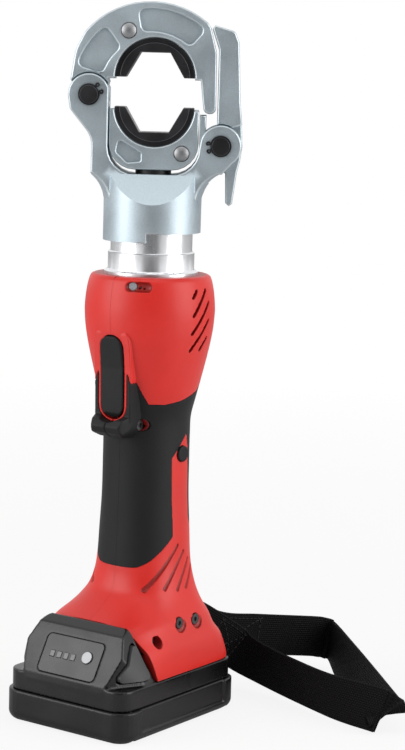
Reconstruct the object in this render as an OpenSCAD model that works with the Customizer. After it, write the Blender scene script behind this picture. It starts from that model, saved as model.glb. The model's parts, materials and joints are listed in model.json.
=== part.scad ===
// Battery press tool for pipe fittings, standing on its battery pack.
// The pipe runs along Y through the dies. The handle is turned about Z against the head.

/* [Fits] */
// Running clearance of a pin or shaft in its hole, on the radius
fit = 0.05; // [0.02:0.01:0.1]
// Clearance between pieces that pass each other
gap = 0.4; // [0.3:0.05:0.6]

/* [Dies] */
// Outside radius of the die inserts
die_r = 22; // [20:0.5:23]
// Width across the flats of the closed hexagon
die_hex = 28; // [22:0.5:30]
// Length of the dies along the pipe
die_t = 21; // [16:0.5:23]
// Open gap between the two die halves
die_gap = 15.6; // [13:0.2:17]

/* [Die carrier] */
// Width of the sliding die carrier
carrier_w = 49.6; // [48:0.2:52]
// Thickness of the carrier along the pipe
carrier_t = 24; // [20:0.5:27]
// Metal under the lower die
carrier_floor = 12.7; // [11:0.1:16]
// Gap between the carrier and the floor of the cradle
ram_gap = 2.5; // [1.5:0.1:4]

/* [Head yoke] */
// Radius of the collar
collar_r = 27.3; // [26.5:0.1:29]
// Height from the lower edge of the collar to the floor of the cradle
collar_h = 37; // [35:0.5:42]
// Height of the cut in the collar skirt that limits the turn
skirt_cut = 5; // [4.5:0.5:7]
// Thickness of the yoke along the pipe
yoke_t = 28; // [26:0.5:32]
// Thickness of the arm beside the carrier
arm_w = 9; // [8:0.5:11]
// Radius of the ears round the pins
boss_r = 11.5; // [11:0.1:12]
// Slot in the ears for the jaw tongue and the latch eye
fork_gap = 12; // [10:0.5:14]
// Height of the slanted faces above the collar
scoop_h = 16; // [14:0.5:18]

/* [Jaw] */
// Radius of the outside of the jaw
jaw_r = 48; // [47:0.5:50]
// Metal above the upper die
jaw_crown = 19.7; // [18:0.1:22]
// Thickness of the jaw along the pipe
jaw_t = 24; // [22:0.5:26]
// Distance of the jaw pin from the tool axis
jaw_x = 36; // [35:0.5:38]
// Height of the jaw pin above the centre of the lower die
jaw_pin_rise = 5.9; // [4:0.1:8]
// Radius of the jaw pin and the latch pin
pin_r = 5; // [4:0.1:5.5]
// Depth of the pockets in the jaw and carrier faces
pocket_depth = 2; // [1:0.1:4]
// Length of the jaw finger below the centre of the upper die
finger_drop = 18.8; // [17:0.1:19.5]

/* [Latch] */
// Distance of the latch pin from the tool axis
latch_x = 37.1; // [36.8:0.1:39]
// Drop of the latch pin below the centre of the lower die
latch_pin_drop = 20.6; // [19:0.1:22]
// Width of the latch bar
latch_w = 12.6; // [11:0.1:14]
// Reach of the latch above its pin
latch_h = 66; // [62:0.5:69]
// Length of the latch tail below its pin
tail_h = 33.3; // [30:0.1:35]

/* [Neck] */
// Radius of the neck inside the collar
neck_r = 22.9; // [22:0.1:23.4]
// Radius of the neck tube above the housing
tube_r = 24.2; // [23.6:0.1:25]
// Height of neck that shows between housing and collar
neck_show = 18.5; // [17:0.5:24]
// Radius of the piston bore
piston_r = 16; // [15:0.1:17]
// Radius of the ram rod
rod_r = 10; // [8:0.1:10.5]
// Wire radius of the return spring
return_wire_r = 1.3; // [1:0.1:1.5]

/* [Handle] */
// Angle of the handle against the head
handle_yaw = 35.5; // [0:0.5:60]
// Height of the housing from its foot to its top
handle_h = 220; // [218:1:226]
// Largest radius of the housing
body_r = 36.2; // [35.5:0.1:38]
// Radius of the grip
grip_r = 24.2; // [24:0.1:26]
// Width of the housing foot
foot_w = 83.6; // [82:0.2:86]
// Reach of the foot behind the tool axis
foot_back = 32.3; // [31:0.1:34]
// Reach of the foot slope in front of the tool axis
foot_front = 62; // [60:0.5:66]
// Wall of the housing
wall = 3.4; // [3:0.1:3.6]
// Thickness of the soft grip skin
skin = 1.6; // [1.2:0.1:2]

/* [Trigger and buttons] */
// Width of the trigger
trigger_w = 15.4; // [13:0.2:16]
// Height of the trigger
trigger_h = 46; // [43:0.5:46.5]
// Depth of the trigger's lower end below the top of the housing
trigger_drop = 78.5; // [78:0.5:80]
// Reach of the trigger face in front of the tool axis
trigger_reach = 35.4; // [34.5:0.1:36.5]
// Radius of the side button
button_r = 4.6; // [3.5:0.1:5.5]
// Radius of the die release buttons
die_button_r = 4; // [3:0.1:4.5]

/* [Drive] */
// Distance of the drive axis behind the tool axis
drive_back = 4; // [3:0.1:4.5]
// Radius of the motor can
motor_r = 16; // [14:0.1:16.2]
// Length of the motor can
motor_l = 60; // [50:1:62]
// Throw of the pump cam
cam_throw = 1.2; // [0.6:0.1:1.6]

/* [Battery pack] */
// Width of the battery pack
pack_w = 88; // [87:0.5:92]
// Length of the battery pack
pack_l = 109; // [108:0.5:114]
// Distance of the pack centre in front of the tool axis
pack_fwd = 18; // [17.5:0.5:19]
// Height of the shoe
shoe_h = 18; // [17.5:0.5:20]
// Height of the plate above the shoe
plate_h = 11.5; // [11:0.1:14]
// Height of the hump above the plate
hump_h = 30; // [29:0.5:31]
// Room in the shoe beyond the row of cells, both ends together
cell_ends = 2.2; // [2:0.1:3]
// Room in the shoe beside the cells, both sides together
cell_sides = 7; // [6.6:0.1:8]
// Gap between neighbouring cells
cell_space = 1; // [0.8:0.1:1.4]

/* [Wrist strap] */
// Width of the webbing
strap_w = 25; // [20:1:25]
// Thickness of the webbing
strap_t = 2; // [1.6:0.1:2.2]
// Reach of the strap loop from the tool axis
strap_reach = 150; // [145:1:160]

/* [Hidden] */
$fn = 64;

// Overrun of every cut past the face it cuts
over = 1;
// Steps in a rounded corner of an outline
arc_steps = 6;

// Heights, from the floor up
plate_z = shoe_h + plate_h;
foot_z = plate_z + gap;
top_z = foot_z + handle_h;
collar_z = top_z + neck_show;
cradle_z = collar_z + collar_h;
carrier_z = cradle_z + ram_gap;
low_z = carrier_z + carrier_floor + die_r;
high_z = low_z + die_gap;
crown_z = high_z + die_r + jaw_crown;
jaw_z = low_z + jaw_pin_rise;
latch_z = low_z - latch_pin_drop;
flare_z = cradle_z - scoop_h;

// Outline helpers
function unit(v) = v / norm(v);
function turn(a) = a > 180 ? a - 360 : a < -180 ? a + 360 : a;
function corner_arc(a, b, c, r) =
  let (u = unit(a - b), v = unit(c - b), half = acos(u * v) / 2,
    centre = b + unit(u + v) * r / sin(half),
    p = b + u * r / tan(half) - centre, q = b + v * r / tan(half) - centre,
    start = atan2(p.y, p.x), sweep = turn(atan2(q.y, q.x) - start))
  [for (k = [0:arc_steps]) centre + r * [cos(start + sweep * k / arc_steps),
    sin(start + sweep * k / arc_steps)]];
function at2(p) = [p[0], p[1]];
function rounded(corners) =
  let (n = len(corners))
  [for (i = [0:n - 1]) let (c = corners[i])
    each (c[2] == 0 ? [at2(c)]
      : corner_arc(at2(corners[(i + n - 1) % n]), at2(c), at2(corners[(i + 1) % n]), c[2]))];
function box2(w, h, r) = rounded([[-w / 2, -h / 2, r], [w / 2, -h / 2, r], [w / 2, h / 2, r],
  [-w / 2, h / 2, r]]);

// A flat plate in the head, drawn in front view
module head_plate(outline, t) {
  rotate([90, 0, 0]) linear_extrude(t, center = true) polygon(outline);
}

// A round piece in the head along the pipe, from y0 to y1
module head_round(x, z, r, y0, y1) {
  translate([x, y1, z]) rotate([90, 0, 0]) cylinder(r = r, h = y1 - y0);
}

// A round piece on the tool axis, turned from a half section
module turned(section) {
  rotate_extrude() polygon(section);
}

// The handle's own frame: front is -Y, right is +X
module in_handle() {
  rotate([0, 0, -handle_yaw]) children();
}

// A solid drawn in side view as [forward, height], across the given width
module side_prism(outline, w) {
  rotate([90, 0, 90]) linear_extrude(w, center = true) polygon([for (p = outline) [-p[0], p[1]]]);
}

// A solid drawn in front view as [right, height], from one forward distance to another
module front_prism(outline, from, to) {
  translate([0, -from, 0]) rotate([90, 0, 0]) linear_extrude(to - from) polygon(outline);
}

// A solid drawn in plan as [right, forward], between two heights
module plan_prism(outline, z0, z1) {
  translate([0, 0, z0]) linear_extrude(z1 - z0) polygon([for (p = outline) [p[0], -p[1]]]);
}

// A round piece across the handle, from one right distance to another
module side_round(forward, z, r, from, to) {
  translate([from, -forward, z]) rotate([0, 90, 0]) cylinder(r = r, h = to - from);
}

// A round piece standing in the handle
module post_round(x, back, r, z0, z1) {
  translate([x, back, z0]) cylinder(r = r, h = z1 - z0);
}

// Sweeps rings of points into one closed skin of triangles
module skin_solid(rings, closed = false) {
  n = len(rings[0]);
  m = len(rings);
  walls = [for (i = [0:m - (closed ? 1 : 2)]) for (k = [0:n - 1])
    let (a = i * n + k, b = i * n + (k + 1) % n, c = (i + 1) % m * n + k, d = (i + 1) % m * n + (k + 1) % n)
    each [[a, c, b], [b, c, d]]];
  caps = closed ? [] : [[for (k = [0:n - 1]) k], [for (k = [n - 1:-1:0]) (m - 1) * n + k]];
  polyhedron([for (ring = rings) each ring], concat(walls, caps));
}

// Coil springs: rings in each turn and sides of the wire
coil_steps = 8;
wire_sides = 6;
function coil_rings(r, wire_r, turns, l) =
  [for (i = [0:turns * coil_steps]) let (a = 360 * i / coil_steps,
    z = wire_r + (l - 2 * wire_r) * i / (turns * coil_steps))
    [for (k = [0:wire_sides - 1]) let (b = -360 * k / wire_sides, q = r + wire_r * cos(b))
      [q * cos(a), q * sin(a), z + wire_r * sin(b)]]];
function coil_gap(rings) =
  min([for (i = [0:len(rings) - 1 - coil_steps]) for (p = rings[i]) for (q = rings[i + coil_steps])
    norm(p - q)]);
module coil(r, wire_r, turns, l, name) {
  rings = coil_rings(r, wire_r, turns, l);
  echo(str("least gap in ", name), coil_gap(rings));
  skin_solid(rings);
}

// Head yoke
ear_face = yoke_t / 2;
slot_half = fork_gap / 2;
cradle_half = carrier_w / 2 + gap;
cradle_corner = 15;
arm_out = cradle_half + arm_w;
ear_clear_r = boss_r + gap;
jaw_slot_r = 14;
latch_slot_r = 22;
yoke_floor = 12;
neck_top_z = cradle_z - yoke_floor - gap;
post_w = 3.6;
post_half = 11;
post_top_z = high_z - finger_drop - 2 * gap;
skirt_edge_x = -2.4;
ring_drop = 7;
ring_z = neck_top_z - ring_drop;
ring_t = 2;
ring_deep = 0.8;
// Corners of the yoke's outline as shares of the ear radius and of the slanted faces
boss_shares = [0.91, 0.7, 0.93, 0.45];
flare_shares = [0.2, 0.88, 0.35];
arm_curve_shares = [0.8, 0.55, 1.2];
flare_r = 19;
flare_turn = 64;
flare_steps = 8;

function yoke_outline() = rounded([
  [-collar_r, flare_z - scoop_h / 2, 0],
  [-collar_r, flare_z + flare_shares[0] * scoop_h, arm_curve_shares[1] * boss_r],
  [-arm_out, flare_z + flare_shares[1] * scoop_h, arm_curve_shares[0] * boss_r],
  [-arm_out, jaw_z - 2 * boss_r, arm_curve_shares[2] * boss_r],
  [-jaw_x - boss_shares[0] * boss_r, jaw_z - boss_shares[1] * boss_r, boss_r / 2],
  [-jaw_x - boss_r, jaw_z, 0],
  [-cradle_half + over, jaw_z, 0],
  [cradle_half - over, latch_z, 0],
  [latch_x + boss_r, latch_z, 0],
  [latch_x + boss_shares[2] * boss_r, latch_z - boss_shares[3] * boss_r, boss_r / 2],
  [collar_r, flare_z + flare_shares[2] * scoop_h, arm_curve_shares[0] * boss_r],
  [collar_r, flare_z - scoop_h / 2, 0]]);

function flare_points() = [for (k = [1:flare_steps]) let (a = flare_turn * k / flare_steps)
  [collar_r + flare_r * (1 - cos(a)), flare_z + flare_r * sin(a)]];

// Round collar with slanted faces front and back, and a plate that flares out of it into the arms
module yoke_body() {
 slope = scoop_h / (collar_r - ear_face);
 edge = collar_r + over;
 intersection() {
  translate([0, 0, collar_z]) cylinder(r = collar_r, h = collar_h);
  side_prism([[-edge, collar_z - over], [edge, collar_z - over], [edge, flare_z - over * slope],
   [ear_face, cradle_z], [-ear_face, cradle_z], [-edge, flare_z - over * slope]], 4 * edge);
 }
 intersection() {
  head_plate(yoke_outline(), yoke_t);
  turned(concat([[0, collar_z + over], [collar_r - over, collar_z + over], [collar_r - over, flare_z - over]],
   flare_points(), [[2 * jaw_r, flare_points()[flare_steps - 1][1]], [2 * jaw_r, crown_z], [0, crown_z]]));
 }
}

module head_yoke() {
  color("lightsteelblue") difference() {
    union() {
      difference() {
        union() {
          yoke_body();
          head_round(-jaw_x, jaw_z, boss_r, -ear_face, ear_face);
          head_round(latch_x, latch_z, boss_r, -ear_face, ear_face);
        }
        head_plate(rounded([[-cradle_half, cradle_z, cradle_corner], [cradle_half, cradle_z, cradle_corner],
          [cradle_half, crown_z, 0], [-cradle_half, crown_z, 0]]), yoke_t + 2 * over);
      }
      for (side = [-1, 1])
        translate([cradle_half, side > 0 ? slot_half : -post_half, latch_z])
          cube([post_w, post_half - slot_half, post_top_z - latch_z]);
    }
    head_round(-jaw_x, jaw_z, jaw_slot_r, -slot_half, slot_half);
    head_round(latch_x, latch_z, latch_slot_r, -slot_half, slot_half);
    for (p = [[-jaw_x, jaw_z], [latch_x, latch_z]])
      head_round(p[0], p[1], pin_r, -ear_face - over, ear_face + over);
    turned([[0, collar_z - over], [neck_r + fit, collar_z - over],
      [neck_r + fit, ring_z - ring_t], [neck_r + 2 * ring_deep, ring_z - ring_t],
      [neck_r + 2 * ring_deep, ring_z + ring_t], [neck_r + fit, ring_z + ring_t],
      [neck_r + fit, neck_top_z + gap], [rod_r + gap, neck_top_z + gap],
      [rod_r + gap, cradle_z + over], [0, cradle_z + over]]);
    translate([skirt_edge_x, -collar_r - over, collar_z - over])
      cube([2 * collar_r, 2 * (collar_r + over), skirt_cut + over]);
  }
}

// Jaw
jaw_lean = 2;
jaw_c = [-jaw_lean, crown_z - jaw_r];
tongue_half = slot_half - gap;
tongue_r = boss_r - gap;
latch_set = 2.3;
latch_in = latch_x - latch_set;
finger_out = latch_in - 2 * gap;
jaw_arc_steps = 14;
jaw_from = 51;
jaw_to = 140;
jaw_seat_drop = 0.7;
// Corners of the jaw's outline as shares of its radius, and of the ear radius
jaw_left_shares = [-0.875, 0.43, 0.4];
jaw_shoulder_shares = [0.67, 0.722, 0.03, 0.44, 0.2];
finger_tip_shares = [0.3, 0.28, 0.11];
function polar(c, r, a) = c + r * [cos(a), sin(a)];
function jaw_outline() = rounded(concat(
  [for (k = [0:jaw_arc_steps])
    let (p = polar(jaw_c, jaw_r, jaw_from + (jaw_to - jaw_from) * k / jaw_arc_steps))
    [p.x, p.y, 0]],
  [[jaw_c.x + jaw_left_shares[0] * jaw_r, jaw_c.y + jaw_left_shares[1] * jaw_r, jaw_left_shares[2] * jaw_r],
  [-jaw_x - boss_shares[0] * boss_r, jaw_z + boss_shares[1] * boss_r, gap],
  [-jaw_x - boss_r / 2, jaw_z, 0],
  [-cradle_half - gap, jaw_z, 0],
  [-cradle_half - gap, high_z - jaw_seat_drop, 0],
  [cradle_half, high_z - jaw_seat_drop, 0],
  [cradle_half + finger_tip_shares[2] * finger_drop, high_z - finger_drop, finger_tip_shares[0] * boss_r],
  [finger_out, high_z - finger_drop, finger_tip_shares[1] * boss_r],
  [finger_out - gap, jaw_c.y + jaw_shoulder_shares[3] * jaw_r, jaw_shoulder_shares[4] * jaw_r],
  [jaw_c.x + jaw_shoulder_shares[0] * jaw_r, jaw_c.y + jaw_shoulder_shares[1] * jaw_r,
    jaw_shoulder_shares[2] * jaw_r]]));

// A pocket between two radii and two angles, with rounded corners
pocket_r = 3;
pocket_steps = 5;
function sector(c, r0, r1, a0, a1) = rounded(concat(
  [for (k = [0:pocket_steps]) let (p = polar(c, r1, a0 + (a1 - a0) * k / pocket_steps))
    [p.x, p.y, k == 0 || k == pocket_steps ? pocket_r : 0]],
  [for (k = [0:pocket_steps]) let (p = polar(c, r0, a1 + (a0 - a1) * k / pocket_steps))
    [p.x, p.y, k == 0 || k == pocket_steps ? pocket_r : 0]]));
module both_faces(t, depth, outline) {
  for (side = [-1, 1])
    translate([0, side * (t / 2 - depth / 2 + over / 2), 0]) head_plate(outline, depth + over);
}
left_pocket_shares = [0.59, 0.885];
right_pocket_shares = [0.665, 0.915];
left_pocket_turn = [127, 163];
right_pocket_turn = [49, 100];
upper_button_share = 0.715;
upper_button_turn = 112;
upper_button = polar(jaw_c, upper_button_share * jaw_r, upper_button_turn);
button_proud = 1.9;
button_in = 2;
button_well = 9;

module upper_jaw() {
  color("lightsteelblue") difference() {
    union() {
      difference() {
        head_plate(jaw_outline(), jaw_t);
        for (side = [-1, 1])
          head_round(-jaw_x, jaw_z, ear_clear_r, side > 0 ? tongue_half : -ear_face - over,
            side > 0 ? ear_face + over : -tongue_half);
      }
      head_round(-jaw_x, jaw_z, tongue_r, -tongue_half, tongue_half);
    }
    head_round(-jaw_x, jaw_z, pin_r + fit, -jaw_t, jaw_t);
    head_round(0, high_z, die_r + fit, -jaw_t, jaw_t);
    both_faces(jaw_t, pocket_depth, sector(jaw_c, left_pocket_shares[0] * jaw_r,
      left_pocket_shares[1] * jaw_r, left_pocket_turn[0], left_pocket_turn[1]));
    both_faces(jaw_t, pocket_depth, sector(jaw_c, right_pocket_shares[0] * jaw_r,
      right_pocket_shares[1] * jaw_r, right_pocket_turn[0], right_pocket_turn[1]));
    head_round(upper_button.x, upper_button.y, die_button_r + fit, -jaw_t, button_well);
  }
}

// Pins and their snap rings
ring_space = 0.15;
snap_t = 1;
snap_wide = 0.9;
snap_groove = 0.5;
pin_end = 0.6;
lug_r = 1.4;
lug_hole_r = 0.45;
lug_turn = 17;
lug_out_share = 0.75;

module hinge_pin(x, z) {
  groove_y = ear_face + ring_space;
  end_y = groove_y + snap_t + 2 * ring_space;
  head_round(x, z, pin_r - fit / 2, -groove_y, groove_y);
  head_round(x, z, pin_r - snap_groove, -end_y, end_y);
  for (side = [-1, 1])
    head_round(x, z, pin_r - fit, side > 0 ? end_y : -end_y - pin_end,
      side > 0 ? end_y + pin_end : -end_y);
}

module snap_rings(x, z, facing) {
  r = pin_r + snap_wide;
  for (side = [-1, 1])
    translate([x, side * (ear_face + 1.5 * ring_space + snap_t / 2), z]) rotate([90, 0, 0])
      linear_extrude(snap_t, center = true) difference() {
        union() {
          circle(r);
          for (lug = [-1, 1]) rotate(facing + lug * lug_turn)
            translate([r + lug_out_share * lug_r, 0]) circle(lug_r);
        }
        circle(pin_r - snap_groove + fit);
        rotate(facing) translate([0, -lug_r * lug_out_share]) square([2 * r, 2 * lug_r * lug_out_share]);
        for (lug = [-1, 1]) rotate(facing + lug * lug_turn)
          translate([r + lug_out_share * lug_r, 0]) circle(lug_hole_r);
      }
}
jaw_ring_facing = 30;
latch_ring_facing = 186;

module jaw_pin() {
  color("dimgray") hinge_pin(-jaw_x, jaw_z);
}

module jaw_pin_rings() {
  color("black") snap_rings(-jaw_x, jaw_z, jaw_ring_facing);
}

module latch_pin() {
  color("dimgray") hinge_pin(latch_x, latch_z);
}

module latch_pin_rings() {
  color("black") snap_rings(latch_x, latch_z, latch_ring_facing);
}

// Latch
latch_top_z = latch_z + latch_h;
spring_room_r = 9.2;
spring_face = 1.2;
spring_wire_r = 0.7;
spring_turns = 2;
// Corners of the latch as shares of its bar width, its height, the ear radius and its tail
toe_shares = [0.31, 0.18, 0.03];
latch_top_shares = [0.68, 0.05, 0.88, 0.14];
latch_low_shares = [0.36, 1.04, 1.04, 0.6];
latch_inner_share = 0.2;
tail_shares = [[1.05, 0], [0.96, -0.24], [0.82, -0.44], [0.63, -0.96], [0.47, -1], [0.3, -0.95],
  [0.26, -0.47], [0, -0.34]];
function latch_outline() = rounded([
  [latch_in - toe_shares[0] * latch_w, latch_top_z - toe_shares[2] * latch_h, gap],
  [latch_in - toe_shares[1] * latch_w, latch_top_z, gap],
  [latch_in + latch_top_shares[0] * latch_w, latch_top_z - latch_top_shares[1] * latch_h, latch_w / 4],
  [latch_in + latch_top_shares[2] * latch_w, latch_top_z - latch_top_shares[3] * latch_h, latch_w / 4],
  [latch_in + latch_w, latch_z + latch_low_shares[0] * latch_h, 0],
  [latch_x + boss_r, latch_z + latch_low_shares[1] * boss_r, 0],
  [latch_in, latch_z + latch_low_shares[3] * boss_r, 0],
  [latch_in, latch_top_z - latch_inner_share * latch_h, latch_w / 4]]);
function tail_outline() = concat(
  [[latch_in, latch_z + 1.5 * boss_r], [latch_x + boss_r - gap, latch_z + 1.5 * boss_r]],
  [for (p = tail_shares) [latch_x + p[0] * boss_r, latch_z + p[1] * tail_h]]);

module latch() {
  color("lightsteelblue") difference() {
    union() {
      difference() {
        head_plate(latch_outline(), jaw_t);
        for (side = [-1, 1])
          head_round(latch_x, latch_z, ear_clear_r, side > 0 ? tongue_half : -ear_face - over,
            side > 0 ? ear_face + over : -tongue_half);
      }
      head_plate(tail_outline(), 2 * tongue_half);
      head_round(latch_x, latch_z, tongue_r, -tongue_half, tongue_half);
    }
    head_round(latch_x, latch_z, pin_r + fit, -jaw_t, jaw_t);
    head_round(latch_x, latch_z, spring_room_r, spring_face, slot_half);
  }
}

module latch_spring() {
  l = slot_half - spring_face - 2 * gap;
  color("silver") translate([latch_x, spring_face + gap + l, latch_z]) rotate([90, 0, 0])
    coil((pin_r + spring_room_r) / 2, spring_wire_r, spring_turns, l, "latch spring");
}

// Die carrier and dies
horn_drop = 1.4;
carrier_pocket_shares = [[-0.77, 0.47], [-0.28, 0.26], [-0.27, 0.13], [-0.58, 0.11], [-0.83, 0.28]];
lower_button_shares = [0.63, 0.27];
lower_button = [lower_button_shares[0] * carrier_w / 2,
  carrier_z + lower_button_shares[1] * (low_z - carrier_z)];
spigot_share = 0.5;
spigot_h = 8;

module die_carrier() {
  half = carrier_w / 2;
  color("lightsteelblue") difference() {
    head_plate(rounded([[-half, carrier_z, cradle_corner - gap], [half, carrier_z, cradle_corner - gap],
      [half, low_z - horn_drop, gap], [-half, low_z - horn_drop, gap]]), carrier_t);
    head_round(0, low_z, die_r + fit, -carrier_t, carrier_t);
    both_faces(carrier_t, pocket_depth, rounded([for (p = carrier_pocket_shares)
      [p[0] * half, carrier_z + p[1] * (low_z - carrier_z), pocket_r / 2]]));
    head_round(lower_button.x, lower_button.y, die_button_r + fit, -carrier_t, button_well);
    post_round(0, 0, spigot_share * rod_r + fit, carrier_z - over, carrier_z + spigot_h + gap);
  }
}

die_part = 0.3;
die_groove_w = 6;
die_groove_d = 1.2;
die_step_share = 0.88;
die_step_d = 1.2;
module die_half(z, side) {
  color("black") difference() {
    head_round(0, z, die_r, -die_t / 2, die_t / 2);
    translate([0, die_t, z]) rotate([90, 0, 0]) cylinder(d = die_hex / cos(30), h = 2 * die_t, $fn = 6);
    translate([-die_r - over, -die_t, side > 0 ? z - 2 * die_r + die_part : z - die_part])
      cube([2 * (die_r + over), 2 * die_t, 2 * die_r]);
    translate([0, 0, z]) rotate([90, 0, 0]) rotate_extrude()
      translate([die_r - die_groove_d, -die_groove_w / 2]) square([die_groove_d + over, die_groove_w]);
    for (end = [-1, 1])
      translate([0, end * (die_t - die_step_d + over) / 2, z]) rotate([90, 0, 0])
        linear_extrude(die_step_d + over, center = true) difference() {
          circle(die_r + over);
          circle(die_step_share * die_r);
        }
  }
}

module upper_die() {
  die_half(high_z, 1);
}

module lower_die() {
  die_half(low_z, -1);
}

// Die release buttons and their springs
button_dome = 1.4;
button_wire_r = 0.4;
button_coil_r = 2;
button_turns = 5;
button_hollow_r = 2.9;
button_hollow = 6.4;
button_travel = 2.5;
module die_button(p, face) {
  r = die_button_r;
  dome_r = (r * r + button_dome * button_dome) / (2 * button_dome);
  tip = -face - button_proud;
  difference() {
    head_round(p.x, p.y, r, tip + button_dome, button_in);
    head_round(p.x, p.y, button_hollow_r, button_in - button_hollow, button_in + over);
  }
  intersection() {
    translate([p.x, tip + dome_r, p.y]) sphere(dome_r);
    head_round(p.x, p.y, r, tip - over, tip + button_dome);
  }
}

module button_coil(p, name) {
  l = button_well - fit - button_in + button_hollow - button_travel - gap;
  translate([p.x, button_well - fit, p.y]) rotate([90, 0, 0])
    coil(button_coil_r, button_wire_r, button_turns, l, name);
}

module upper_die_button() {
  color("silver") die_button(upper_button, jaw_t / 2);
}

module lower_die_button() {
  color("silver") die_button(lower_button, carrier_t / 2);
}

module upper_button_spring() {
  color("gray") button_coil(upper_button, "upper button spring");
}

module lower_button_spring() {
  color("gray") button_coil(lower_button, "lower button spring");
}

// Neck, ram and swivel
neck_sunk = 28;
tube_z = top_z - neck_sunk;
tube_floor = 6;
bore_z = tube_z + tube_floor;
piston_z = bore_z + 2 * gap;
piston_h = 11;
gland_h = 11;
gland_z = neck_top_z - gland_h;
neck_step = 12;
neck_chamfer = 0.8;
flange_out = 2.1;
flange_h = 1.4;
seal_w = 3;
seal_d = 2;
stop_r = 1.7;
stop_in = 3;
stop_turn = 40;
stop_z = collar_z + skirt_cut / 2;

module neck_tube() {
  step_z = top_z + neck_step;
  color("silver") difference() {
    turned([[0, tube_z], [tube_r, tube_z], [tube_r, top_z], [tube_r + flange_out, top_z],
      [tube_r + flange_out, top_z + flange_h], [tube_r, top_z + 2 * flange_h], [tube_r, step_z],
      [neck_r, step_z + neck_chamfer], [neck_r, ring_z - ring_t / 2 - fit],
      [neck_r - ring_deep, ring_z - ring_t / 2 - fit],
      [neck_r - ring_deep, ring_z + ring_t / 2 + fit],
      [neck_r, ring_z + ring_t / 2 + fit], [neck_r, neck_top_z], [piston_r, neck_top_z],
      [piston_r, bore_z], [0, bore_z]]);
    rotate([0, 0, stop_turn]) translate([neck_r - stop_in, 0, stop_z]) rotate([0, 90, 0])
      cylinder(r = stop_r, h = stop_in + over);
  }
}

module gland_nut() {
  color("goldenrod") turned([[rod_r + fit, gland_z], [piston_r - fit, gland_z],
    [piston_r - fit, neck_top_z], [rod_r + fit, neck_top_z]]);
}

module swivel_ring() {
  color("dimgray") turned([[neck_r - ring_deep + fit, ring_z - ring_t / 2],
    [neck_r + ring_deep, ring_z - ring_t / 2], [neck_r + ring_deep, ring_z + ring_t / 2],
    [neck_r - ring_deep + fit, ring_z + ring_t / 2]]);
}

module stop_pin() {
  color("dimgray") rotate([0, 0, stop_turn]) translate([neck_r - stop_in, 0, stop_z]) rotate([0, 90, 0])
    cylinder(r = stop_r - fit / 2, h = stop_in + collar_r - neck_r - 2 * gap);
}

module ram() {
  top = piston_z + piston_h;
  r = piston_r - fit;
  seal_z = piston_z + piston_h / 2;
  color("dimgray") turned([[0, piston_z], [r, piston_z], [r, seal_z - seal_w / 2],
    [r - seal_d, seal_z - seal_w / 2], [r - seal_d, seal_z + seal_w / 2], [r, seal_z + seal_w / 2],
    [r, top],
    [rod_r, top], [rod_r, carrier_z], [spigot_share * rod_r, carrier_z],
    [spigot_share * rod_r, carrier_z + spigot_h], [0, carrier_z + spigot_h]]);
}

module ram_seal() {
  r = piston_r - fit;
  seal_z = piston_z + piston_h / 2;
  color("black") turned([[r - seal_d + fit, seal_z - seal_w / 2 + fit],
    [r, seal_z - seal_w / 2 + fit],
    [r, seal_z + seal_w / 2 - fit], [r - seal_d + fit, seal_z + seal_w / 2 - fit]]);
}

return_turns = 7;
module return_spring() {
  from = piston_z + piston_h + fit;
  color("gray") translate([0, 0, from])
    coil((piston_r + rod_r) / 2, return_wire_r, return_turns, gland_z - fit - from, "return spring");
}

// Drive, standing in the handle's frame behind the tool axis
pump_h = 8.4;
pump_z = tube_z - pump_h;
pump_r = 20;
leg_w = 14;
leg_in = 15.2;
leg_out = 23.2;
plunger_r = 2.5;
plunger_in = 14.7;
plunger_out = 21.6;
case_h = 18.6;
case_wall = 2;
case_drop = 53.5;
case_z = tube_z - case_drop;
case_top = case_z + case_h;
journal_r = 4;
cam_r = 5.5;
cam_h = 8;
cam_rise = 2;
cam_z = case_top + cam_rise;
plunger_z = cam_z + cam_h / 2;
planet_r = 11;
planet_h = 4;
bearing_r = 9;
shaft_tip = 3;
can_wall = 1.6;
can_end = 3;
shaft_r = 2.5;
rotor_r = 12;
rotor_gap = 4;
pinion_r = 4;
pinion_h = 4;
can_z = case_z - motor_l;

module pump_block() {
  color("gray") in_handle() difference() {
    union() {
      post_round(0, 0, pump_r, pump_z, tube_z);
      translate([-leg_w / 2, leg_in, case_top])
        cube([leg_w, leg_out - leg_in, pump_z + over - case_top]);
    }
    post_round(0, drive_back, journal_r + fit, pump_z - over, pump_z + shaft_tip + gap);
    translate([0, leg_in - over, plunger_z]) rotate([-90, 0, 0])
      cylinder(r = plunger_r + fit, h = leg_out - leg_in + 2 * over);
  }
}

module pump_plunger() {
  color("silver") in_handle() translate([0, plunger_in, plunger_z]) rotate([-90, 0, 0])
    cylinder(r = plunger_r, h = plunger_out - plunger_in);
}

module cam_shaft() {
  planet_z = case_top - case_wall - planet_h - gap;
  color("silver") in_handle() {
    post_round(0, drive_back, planet_r, planet_z, planet_z + planet_h);
    post_round(0, drive_back, journal_r, planet_z, pump_z + shaft_tip);
    post_round(0, drive_back + cam_throw, cam_r, cam_z, cam_z + cam_h);
  }
}

module cam_bearing() {
  color("dimgray") in_handle() difference() {
    post_round(0, drive_back + cam_throw, bearing_r, cam_z + gap, cam_z + cam_h - gap);
    post_round(0, drive_back + cam_throw, cam_r, cam_z - over, cam_z + cam_h + over);
  }
}

module gear_case() {
  color("dimgray") in_handle() difference() {
    post_round(0, drive_back, motor_r, case_z, case_top);
    post_round(0, drive_back, motor_r - case_wall, case_z + case_wall, case_top - case_wall);
    post_round(0, drive_back, pinion_r + gap, case_z - over, case_z + case_wall + over);
    post_round(0, drive_back, journal_r + fit, case_top - case_wall - over, case_top + over);
  }
}

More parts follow.
